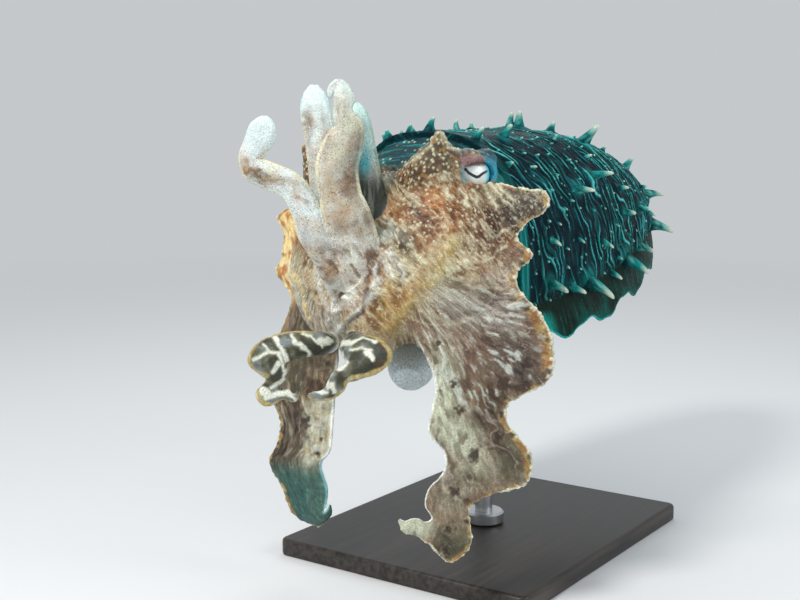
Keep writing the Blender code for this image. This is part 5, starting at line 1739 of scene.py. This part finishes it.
def paint_funnel(points, lay):
    """Speckled grey, darker above, a pale bulb at the mouth."""
    u = lay[:, 0]
    pale = ramp(u + 0.08 * cloud(points, 6.0, 111), 0.42, 0.66)
    colour = mixed(tone("grey_dark"), tone("grey") * 1.35, pale)
    distance, which = cells(points, 1.9, 112)
    speck = ramp(distance, 0.42, 0.22) * (which > 0.3)
    colour = mixed(colour, colour * 0.5, 0.6 * speck * ramp(u, 0.8, 0.6))
    return colour, 0.1 * cloud(points, 2.2, 113)


def paint_neck(points, colour, raised):
    """The smooth teal collar inside the mantle's rim, in painted shade deeper under it, and the dark, beaded
    nape over the head.
    """
    x, y, z = points.T
    nape = ramp(z, 82.0, 88.0) * ramp(y, 3.0, 12.0) * ramp(np.abs(x), 62.0, 50.0)
    lines = streaks(x, y + z, 14.0, 2.0, 151)
    distance, which = cells(points, 3.4, 152)
    bead = ramp(distance, 0.3, 0.16) * (which > 0.55)
    dark = between("nape", "mantle_teal", 0.45 * ramp(lines, 0.25, 0.75))
    colour = layered(
        colour,
        ("neck_teal", ramp(y, 20.0, 28.0)),
        # Painted shade: the collar darkens deeper inside the mantle's opening.
        (tone("neck_teal") * 0.35, 0.8 * ramp(y, 34.0, 46.0)),
        (mixed(dark, tone("tip_cream"), 0.8 * bead), nape),
    )
    return colour, raised * (1 - nape) + nape * (0.8 * bead + 0.5 * ramp(lines, 0.2, 0.7))


def paint_lids(points, colour, raised):
    """Mauve upper lids that turn teal behind, with a raised rim and folds round each eye."""
    own = unroll_head(points)
    gaze, level, upward = eye_axes()
    grain = cloud(points, 1.8, 131)
    mauve = between("lid_mauve_and_shadow", "umber", ramp(grain, 0.1, 0.9))
    for side in (1, -1):
        local = own * np.array([side, 1, 1]) - np.array(EYE_CENTRE)
        ahead, a, b = local @ gaze, local @ level, local @ upward
        ring = np.hypot((a - LID_SHIFT) / LID_OPENING[0], b / LID_OPENING[1])
        near = np.linalg.norm(local, axis=1) < 30
        front = ramp(ahead, -5.0, 1.0) * near
        upper = window(b, 2.5, 4.5, 10.5, 13.5) * window(a, -7.5, -4.0, 9.0, 13.0) * front
        behind = window(-a, 5.0, 7.5, 26.0, 32.0) * window(b, -7.0, -3.0, 14.0, 19.0)
        behind = behind * ramp(ahead, -32.0, -22.0) * near
        above = window(b, 11.5, 13.5, 18.0, 24.0) * front * ramp(a, 13.0, 9.0)
        corner = np.exp(-(((a - 10.5) / 2.0) ** 2) - ((b + 0.5) / 4.0) ** 2) * front
        blue = between("lid_teal", "cyan", ramp(grain, 0.2, 0.9) * 0.5)
        blue = mixed(blue, tone("nape") * 1.4, ramp(b, 4.0, 13.0))
        colour = layered(
            colour,
            (mauve, 0.92 * upper),
            (blue, 0.95 * behind),
            (tone("nape") * 1.5, 0.85 * above * ramp(grain, 0.6, -0.1)),
            ("cyan", 0.85 * corner),
        )
        rim = 0.8 * np.exp(-(((ring - 1.2) / 0.13) ** 2))
        fold = 0.9 * np.exp(-(((ring - 1.75) / 0.14) ** 2)) * ramp(b, 0.0, 4.0)
        raised = raised + rim * front - fold * front
    return colour, raised


# For each region: how strong the stipple, the finest streaks and the granules are.
DOT_DENSITY = np.array([0.5, 0.0, 0.1, 0.8, 1.0, 0.4, 0.6, 0.5])
STREAK_STRENGTH = np.array([0.5, 0.3, 0.35, 0.3, 0.15, 0.3, 0.42, 0.6])
GRANULE_STRENGTH = np.array([1.0, 0.0, 0.0, 0.3, 0.25, 0.25, 0.6, 0.5])


def head_pixels(points, x, y):
    """Where the head's paint is read: at its own pixels on the left, mirrored on the right."""
    own = unroll_head(points)
    mirror_x, mirror_y, _ = body_to_pixels(roll_head(own * np.array([-1, 1, 1])))
    turn = ramp(-own[:, 0], 10.0, 22.0)
    return x * (1 - turn) + mirror_x * turn, y * (1 - turn) + mirror_y * turn


def paint_region(kind, points, seen, head_seen, facing, lay, arm):
    """Colour and relief that points take from one of the regions."""
    if kind == HEAD:
        colour, raised = paint_front(*head_seen, points, "tan")
        colour, raised = paint_lids(points, colour, raised)
        return paint_neck(points, colour, raised)
    if kind in (LOWER_LEFT, LOWER_RIGHT):
        return paint_lower(*seen, points, lay, kind == LOWER_RIGHT)
    if kind == RAISED:
        return paint_raised(*seen, facing, points, lay, arm)
    if kind == ZEBRA:
        return paint_zebra(*seen, facing, points, lay)
    paint = {MANTLE: paint_mantle, FIN: paint_fin, FUNNEL: paint_funnel}[kind]
    return paint(points, lay)


def paint_skin(points, normals, region, arm, lay, weights):
    """Colour, relief, stipple density, grit and flow of every point of the skin."""
    x, y, _ = body_to_pixels(points)
    head_x, head_y = head_pixels(points, x, y)
    facing = normals @ VIEW_NEAR
    colours = np.zeros((len(points), 3))
    raised = np.zeros(len(points))
    for kind in range(REGION_COUNT):
        pick = weights[:, kind] > 0.004
        if not pick.any():
            continue
        seen, head_seen = (x[pick], y[pick]), (head_x[pick], head_y[pick])
        colour, lift = paint_region(kind, points[pick], seen, head_seen, facing[pick], lay[pick], arm[pick])
        colours[pick] += colour * weights[pick, kind][:, None]
        raised[pick] += lift * weights[pick, kind]
    bare = np.isin(region, (HEAD, LOWER_LEFT, LOWER_RIGHT))
    ahead = facing[bare] * ramp(points[bare, 1], 8.0, 2.0)
    lined, lifted = paint_lines(x[bare], y[bare], ahead, colours[bare], raised[bare])
    colours[bare], raised[bare] = paint_spots(x[bare], y[bare], facing[bare], lined), lifted
    strip = (region == LOWER_RIGHT) * ramp(0.36 - lay[:, 0], 0.0, 0.06)
    calm = 1 - 0.9 * brow_share(head_x, head_y) * weights[:, HEAD] - 0.6 * strip
    grit = np.stack([(weights @ STREAK_STRENGTH) * calm, weights @ GRANULE_STRENGTH, 0 * raised], axis=1)
    density = (weights @ DOT_DENSITY) * (1 - 0.85 * (region == RAISED) * ramp(lay[:, 0], 0.78, 0.93))
    return colours, raised, density, grit, skin_flow(head_x, head_y, points, region, lay)


def skin_flow(x, y, points, region, lay):
    """Along and across the skin's finest streaks, in mm, for the skin's material."""
    u, v, _ = lay.T
    share, _, out = mantle_lay(lay)
    head_along, head_across, radius, bearing = front_flow(x, y, points)
    fan = web_share(x, y) > 0.5
    flow = np.stack([np.where(fan, radius, head_along), np.where(fan, bearing, head_across)], axis=1)
    flow = flow * FLOW_SCALE
    for place, along, across in (
        (np.isin(region, (RAISED, ZEBRA, LOWER_RIGHT, FUNNEL)), u * ARM_SPAN[0], v * ARM_SPAN[1]),
        (region == MANTLE, out * FLANK_SPAN, ridge_place(share, out)),
        (region == FIN, v * FIN_WIDTH, u * MANTLE_LENGTH),
    ):
        flow[place] = np.stack([along, across], axis=1)[place]
    return np.concatenate([flow, region[:, None] * REGION_STEP], axis=1)


def relax_borders(points, region, edges):
    """Runs the arms, webs and funnel smoothly into the head where they leave it."""
    first, second = region[edges[:, 0]], region[edges[:, 1]]
    meets = (first != second) & ((first == HEAD) | (second == HEAD))
    meets &= (first != MANTLE) & (second != MANTLE)
    count = len(points)
    mark = np.zeros(count)
    mark[edges[meets].ravel()] = 1.0
    near = mark[:, None]
    for _ in range(int(round(BORDER_ZONE / VOXEL))):
        near = np.maximum(near, (spread(near, edges, count, 1, 1.0) > 0.001).astype(float))
    pick = np.flatnonzero(near[:, 0] > 0)
    index = np.full(count, -1)
    index[pick] = np.arange(len(pick))
    own = index[edges]
    own = own[(own >= 0).all(axis=1)]
    times = int(round(BORDER_REACH / VOXEL)) ** 2 // 2
    halo = spread(mark[pick], own, len(pick), times) * 3.0
    soft = np.clip(2.2 * spread(halo, own, len(pick), 4)[:, 0], 0, 1)
    smooth = spread(points[pick], own, len(pick), times)
    moved = points.copy()
    moved[pick] = points[pick] * (1 - soft[:, None]) + smooth * soft[:, None]
    return moved


def streaked(skin, streak, strength):
    """The painted colour, darker and lighter along the finest streaks, with pale crests."""
    painted = skin.stored("tone")
    depth = skin.product(skin.mapped(streak, 0.32, 0.68, -0.62, 0.45), strength)
    crest = skin.product(skin.mapped(streak, 0.60, 0.72, 0.0, 0.5), strength)
    pale = skin.blended(skin.scaled(painted, 1.6), crest, (0.66, 0.62, 0.44))
    return skin.blended(skin.scaled(painted, skin.maths("ADD", 1.0, depth)), crest, pale)


def dotted(skin, base):
    """Adds brown chromatophores of two sizes, thinned out in clouds."""
    patchy = skin.mapped(skin.noise(7.0), 0.38, 0.62, 0.25, 1.0)
    density = skin.product(skin.stored("tone", "Alpha"), patchy)
    dots = skin.mapped(skin.voronoi(1.45), 0.17, 0.33, 1.0, 0.0)
    specks = skin.mapped(skin.voronoi(0.9), 0.16, 0.34, 1.0, 0.0)
    base = skin.blended(base, skin.product(dots, density), (0.36, 0.24, 0.18), "MULTIPLY")
    fainter = skin.product(specks, skin.product(density, 0.6))
    return skin.blended(base, fainter, (0.60, 0.46, 0.38), "MULTIPLY")


def skin_height(skin, streak, strength, granule):
    """The finest relief: grain, pits, streaks and granules."""
    pits = skin.product(skin.voronoi(0.8, "SMOOTH_F1"), -0.6)
    height = skin.maths("ADD", skin.noise(1.3, 4.0), pits)
    height = skin.maths("ADD", height, skin.product(streak, skin.product(strength, 2.0)))
    return skin.maths("ADD", height, granule)


def skin_material(name, specular, coat):
    """Skin whose broad colour is painted and whose streaks, granules and dots are procedural."""
    skin = Shading(name, (0.5, 0.5, 0.5), 0.5)
    grit = skin.node("ShaderNodeSeparateColor", {0: skin.stored("grit")}).outputs
    flow = skin.stretched(skin.stored("flow", "Vector"), (0.3, 1.0, 1.0))
    streak = skin.noise(1.3, 2.5, flow)
    granule = skin.mapped(skin.voronoi(1.7), 0.16, 0.36, 1.0, 0.0)
    granule = skin.product(granule, skin.mapped(skin.noise(5.0), 0.48, 0.60, 0.0, 1.0))
    granule = skin.product(granule, grit["Green"])
    base = streaked(skin, streak, grit["Red"])
    base = skin.blended(base, skin.product(granule, 0.75), skin.scaled(skin.stored("tone"), 2.1))
    grain = skin.mapped(skin.noise(0.9, 4.0), 0.3, 0.7, 0.80, 1.20)
    look = {
        "Base Color": skin.scaled(dotted(skin, base), grain),
        "Roughness": skin.mapped(skin.noise(2.4), 0.3, 0.7, 0.36, 0.62),
        "Normal": skin.bump(skin_height(skin, streak, grit["Red"], granule), 0.7, 0.4),
        "Specular IOR Level": specular,
        "Subsurface Weight": 0.06,
        "Subsurface Radius": (1.0, 0.55, 0.35),
        "Subsurface Scale": 1.4 * MM,
        "Coat Weight": coat,
        "Coat Roughness": 0.25,
    }
    skin.fill(skin.shader, look)
    return skin.material


def mantle_papillae():
    """The mantle's papillae as a mesh, green at their feet and pale at their tips."""
    points, faces, share, height, chance = mantle_horns()
    papillae = mesh_object("papillae", points, faces)
    tall = ramp(height, 2.0, 8.0)
    pale = ramp(share, 0.74 - 0.25 * chance, 1.0) * (0.3 + 0.6 * np.maximum(chance, tall))
    grain = cloud(points, 2.2, 121)
    colour = layered(
        between("mantle_green", "mantle_teal", ramp(share + 0.4 * grain, 0.0, 0.9)),
        ("tip_cream", 0.3 * ramp(grain, 0.3, 0.9) * ramp(share, 0.1, 0.5)),
        ("tip_cream", pale),
    )
    set_tone(papillae, colour, np.full(len(points), 0.15))
    return papillae


def arm_far_faces(name, shares):
    """Middle, far side, across direction, reach and half thickness along an arm's suckered face."""
    if name in BANDS:
        sheet, thick = band_sheet(BANDS[name], shares, BAND_READS + 1)
        place = int(round(BAND_READS * SUCKER_PLACE[name]))
        centres = sheet[:, place]
        across = unit(sheet[:, place] - sheet[:, place - 1])
        normals = np.cross(across, unit(np.gradient(centres, axis=0)))
        reach = np.minimum(0.24 * np.linalg.norm(sheet[:, -1] - sheet[:, 0], axis=1), 8.0)
    else:
        centres, _, across, normals, reach, thick, _ = arm_frames(ARMS[name], shares)
        reach = reach * 0.8
    far = -normals * np.sign(normals @ VIEW_NEAR)[:, None]
    return centres, far, across, reach, thick


def seat_for(tree, spot, far, radius):
    """Where a sucker near a spot sits and points, or None where it has no room on the skin."""
    found, normal, _, gap = tree.find_nearest(spot.tolist())
    if found is None or gap > 3.0 or np.dot(normal, far) < 0.35:
        return None
    ahead = np.array(found) + np.array(normal) * radius
    if tree.ray_cast(ahead.tolist(), normal, 3.5 * radius)[0] is not None:
        return None
    return found, normal, radius


def sucker_seats(tree):
    """Places, axes and radii of the suckers, in four staggered rows along every arm."""
    seats = []
    for name in ARM_NAMES:
        centres, far, across, reach, thick = arm_far_faces(name, np.linspace(0, 1, ARM_READS + 1))
        along = np.concatenate([[0], np.cumsum(np.linalg.norm(np.diff(centres, axis=0), axis=1))])
        walked, turn = SUCKER_SPAN[0] * along[-1], 0
        while walked < SUCKER_SPAN[1] * along[-1]:
            i = min(int(np.searchsorted(along, walked)), ARM_READS)
            radius = float(np.clip(0.2 * reach[i], *SUCKER_RADII))
            for row in SUCKER_ROWS[turn]:
                spot = centres[i] + row * 0.5 * reach[i] * across[i] + far[i] * thick[i]
                seats.append(seat_for(tree, spot, far[i], radius))
            walked += SUCKER_PITCH * radius
            turn = 1 - turn
    return [np.array(values) for values in zip(*(seat for seat in seats if seat))]


def build_suckers(skin):
    """Cupped suckers on the far face of every arm, seated on the skin."""
    polygons = [tuple(polygon.vertices) for polygon in skin.data.polygons]
    tree = BVHTree.FromPolygons(mesh_points(skin).tolist(), polygons)
    seats, axes, sizes = sucker_seats(tree)
    profile, sizes = np.array(CUP_PROFILE), sizes[:, None, None, None]
    outward, upward, shade = (profile[None, :, None, k : k + 1] for k in range(3))
    points = seats[:, None, None] + axes[:, None, None] * upward * sizes
    points = points + circles(axes, SUCKER_SIDES)[:, None] * outward * sizes
    faces = repeated_faces(len(profile), SUCKER_SIDES, len(seats))
    made = mesh_object("suckers", points.reshape(-1, 3), faces)
    inner = np.broadcast_to(shade[..., 0], points.shape[:3]).ravel()
    set_tone(made, mixed(tone("white"), tone("tan") * 0.7, inner), np.full(len(inner), 0.1))
    return made


def set_dark_faces(made, region):
    """Gives the mantle and the fins the duller of the two skins."""
    dark = np.isin(region, (MANTLE, FIN))
    corners = read_rows(made.data.polygons, "loop_start", 1, np.int32)[:, 0]
    loops = read_rows(made.data.loops, "vertex_index", 1, np.int32)[:, 0]
    made.data.polygons.foreach_set("material_index", dark[loops[corners]].astype(np.int32))


def shaped_skin():
    """The skin's mesh in its final form and paint, and the region of each of its points."""
    patches = source_patches()
    skin = joined_skin(patches)
    points, edges = mesh_points(skin), edge_list(skin)
    region, arm, lay = nearest_lay(points, patches)
    points = relax_borders(points, region, edges)
    set_points(skin, points)
    weights = spread(np.eye(REGION_COUNT)[region], edges, len(points), 3)
    normals = vertex_normals(skin)
    colours, raised, dots, grit, flow = paint_skin(points, normals, region, arm, lay, weights)
    raised = spread(raised, edges, len(points), 2, 0.4)[:, 0]
    set_points(skin, points + normals * raised[:, None])
    set_tone(skin, colours, dots)
    set_flow(skin, grit, flow)
    return skin, region


def build_skin():
    """The whole animal but for its eyes: skin, suckers and papillae in one piece."""
    skin, region = shaped_skin()
    skin.data.materials.clear()
    front, dull = skin_material("living_skin", 0.35, 0.05), skin_material("dark_skin", 0.05, 0.0)
    for material in (front, dull):
        skin.data.materials.append(material)
    set_dark_faces(skin, region)
    suckers, papillae = build_suckers(skin), mantle_papillae()
    suckers.data.materials.append(front)
    papillae.data.materials.append(dull)
    join_meshes(skin, [suckers, papillae])
    skin.data.shade_smooth()
    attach(skin, "root")
    flesh = [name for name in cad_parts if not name.startswith(("stand_", "eye_"))]
    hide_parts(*flesh)


# Eyes


def eye_material():
    """A wet eyeball: painted colour, fine grain and a clear coat."""
    wet = Shading("wet_eye", (0.8, 0.8, 0.8), 0.22)
    grain = wet.mapped(wet.noise(0.7, 2.0), 0.3, 0.7, 0.88, 1.08)
    painted = wet.scaled(wet.stored("tone"), grain)
    wet.fill(wet.shader, {"Base Color": painted, "Coat Weight": 0.8, "Coat Roughness": 0.04})
    return wet.material


def eye_ball(side):
    """Points and faces of an eyeball with its pole at the gaze, finest in front."""
    gaze, level, upward = eye_axes()
    fall = np.radians(np.concatenate([np.linspace(0, 66, 110), np.linspace(70, 180, 24)]))[:, None]
    turn = np.linspace(0, 2 * math.pi, 168, endpoint=False)[None]
    flat = np.broadcast_to(np.cos(fall), (len(fall), turn.shape[1])).reshape(-1, 1)
    a = (np.sin(fall) * np.cos(turn)).reshape(-1, 1)
    b = (np.sin(fall) * np.sin(turn)).reshape(-1, 1)
    points = (gaze * flat + level * a + upward * b) * EYE_RADIUS + np.array(EYE_CENTRE)
    return roll_head(points * np.array([side, 1, 1])), grid_faces(len(fall), turn.shape[1])


def eye_colours(own):
    """A white eye with blue-green ends, the upper lid's mauve and its painted shadow across its top, and the
    W-shaped pupil.
    """
    gaze, level, upward = eye_axes()
    a, b = own @ level, own @ upward
    width = 0.72 + 0.16 * np.cos(np.clip(a / 7.5, -1, 1) * math.pi / 2)
    pupil = ramp(path_distance(a, b, PUPIL), width + 0.16, width - 0.1) * (own @ gaze > 0)
    return layered(
        np.repeat((tone("white") * np.array([0.98, 1.02, 1.05]))[None], len(own), axis=0),
        (tone("cyan") * 1.3, 0.85 * ramp(np.abs(a - 1.0), 6.0, 9.5)),
        # The upper lid's mauve with its painted shadow over the top of the eyeball.
        ("lid_mauve_and_shadow", 0.9 * ramp(b + 0.5 * cloud(own, 1.2, 141), 3.6, 5.2)),
        (np.array(PUPIL_COLOUR), pupil),
    )


def build_eye(name, side, material):
    """An eyeball, painted in the frame of the left eye."""
    made = weld(mesh_object(name, *eye_ball(side)))
    own = unroll_head(mesh_points(made)) * np.array([side, 1, 1]) - np.array(EYE_CENTRE)
    set_tone(made, eye_colours(own), np.zeros(len(own)))
    made.data.materials.append(material)
    made.data.shade_smooth()
    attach(made, "root")
    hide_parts(name.replace("eyeball", "eye"))


# Stand


def metal_material():
    """Satin steel, brushed round, with faint smears."""
    steel = Shading("brushed_steel", (0.52, 0.53, 0.54), 0.32)
    lines = steel.noise(1.0, 2.0, steel.stretched(steel.place, (40, 40, 2600)))
    rough = steel.mapped(lines, 0.0, 1.0, 0.22, 0.46)
    relief = steel.bump(lines, 0.12, 0.05)
    steel.fill(steel.shader, {"Metallic": 1.0, "Roughness": rough, "Normal": relief})
    return steel.material


def board_material():
    """Dark stained oak: grain along the board and a satin finish."""
    oak = Shading("dark_board", (0.03, 0.03, 0.03), 0.4)
    grain = oak.noise(1.0, 6.0, oak.stretched(oak.place, (260, 16, 260)), 0.6)
    stain = oak.node("ShaderNodeValToRGB", {"Fac": grain})
    for element, (place, colour) in zip(stain.color_ramp.elements, OAK_STAIN):
        element.position = place
        element.color = (*colour, 1)
    rough = oak.mapped(grain, 0.0, 1.0, 0.34, 0.55)
    relief = oak.bump(grain, 0.25, 0.15)
    oak.fill(oak.shader, {"Base Color": stain.outputs["Color"], "Roughness": rough, "Normal": relief})
    return oak.material


def stand_piece(name, node, points, faces, material):
    """A piece of the stand in place of its node, smooth but for its edges."""
    made = weld(mesh_object(name, points, faces))
    made.data.materials.append(material)
    made.data.shade_smooth()
    made.data.set_sharp_from_angle(angle=math.radians(32))
    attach(made, "root")
    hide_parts(node)


def node_box(node):
    low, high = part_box(node)
    return np.array(low) / MM - PIVOT, np.array(high) / MM - PIVOT


def lathe(name, node, chamfer, material):
    """A turned piece as wide and high as its node, with chamfered ends."""
    low, high = node_box(node)
    middle, radius = 0.5 * (low + high), 0.5 * (high[0] - low[0])
    profile = [(0, low[2]), (radius - chamfer, low[2]), (radius, low[2] + chamfer)]
    profile += [(radius, high[2] - chamfer), (radius - chamfer, high[2]), (0, high[2])]
    turns = np.linspace(0, 2 * math.pi, ROD_SIDES, endpoint=False)
    x, y, _ = middle
    points = [(x + r * math.cos(t), y + r * math.sin(t), z) for r, z in profile for t in turns]
    stand_piece(name, node, points, grid_faces(len(profile), ROD_SIDES), material)


def build_board(material):
    """The base board with rounded corners and a softened top edge."""
    low, high = node_box("stand_base")
    middle, half = 0.5 * (low + high), 0.5 * (high - low)
    rings = [(inset, low[2] + rise) for inset, rise in BOARD_FOOT]
    rings += [(inset, high[2] - drop) for inset, drop in BOARD_EDGE]
    turns = np.linspace(0, 2 * math.pi, BOARD_SIDES, endpoint=False)
    points = [(middle[0], middle[1], low[2])] * BOARD_SIDES
    for inset, z in rings:
        for t in turns:
            x = math.copysign(half[0] - BOARD_CORNER, math.cos(t)) + (BOARD_CORNER - inset) * math.cos(t)
            y = math.copysign(half[1] - BOARD_CORNER, math.sin(t)) + (BOARD_CORNER - inset) * math.sin(t)
            points.append((middle[0] + x, middle[1] + y, z))
    points += [(middle[0], middle[1], high[2])] * BOARD_SIDES
    faces = grid_faces(len(rings) + 2, BOARD_SIDES)
    stand_piece("base_board", "stand_base", points, faces, material)


eye_low, eye_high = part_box("eye_left")
PIVOT = np.array((eye_low + eye_high) / 2) / MM - roll_head(np.array([EYE_CENTRE]))[0]
build_camera()
build_light()
build_stage()
build_skin()
wet = eye_material()
build_eye("eyeball_left", 1, wet)
build_eye("eyeball_right", -1, wet)
steel = metal_material()
lathe("rod", "stand_rod", 0.4, steel)
lathe("collar", "stand_collar", 1.2, steel)
build_board(board_material())
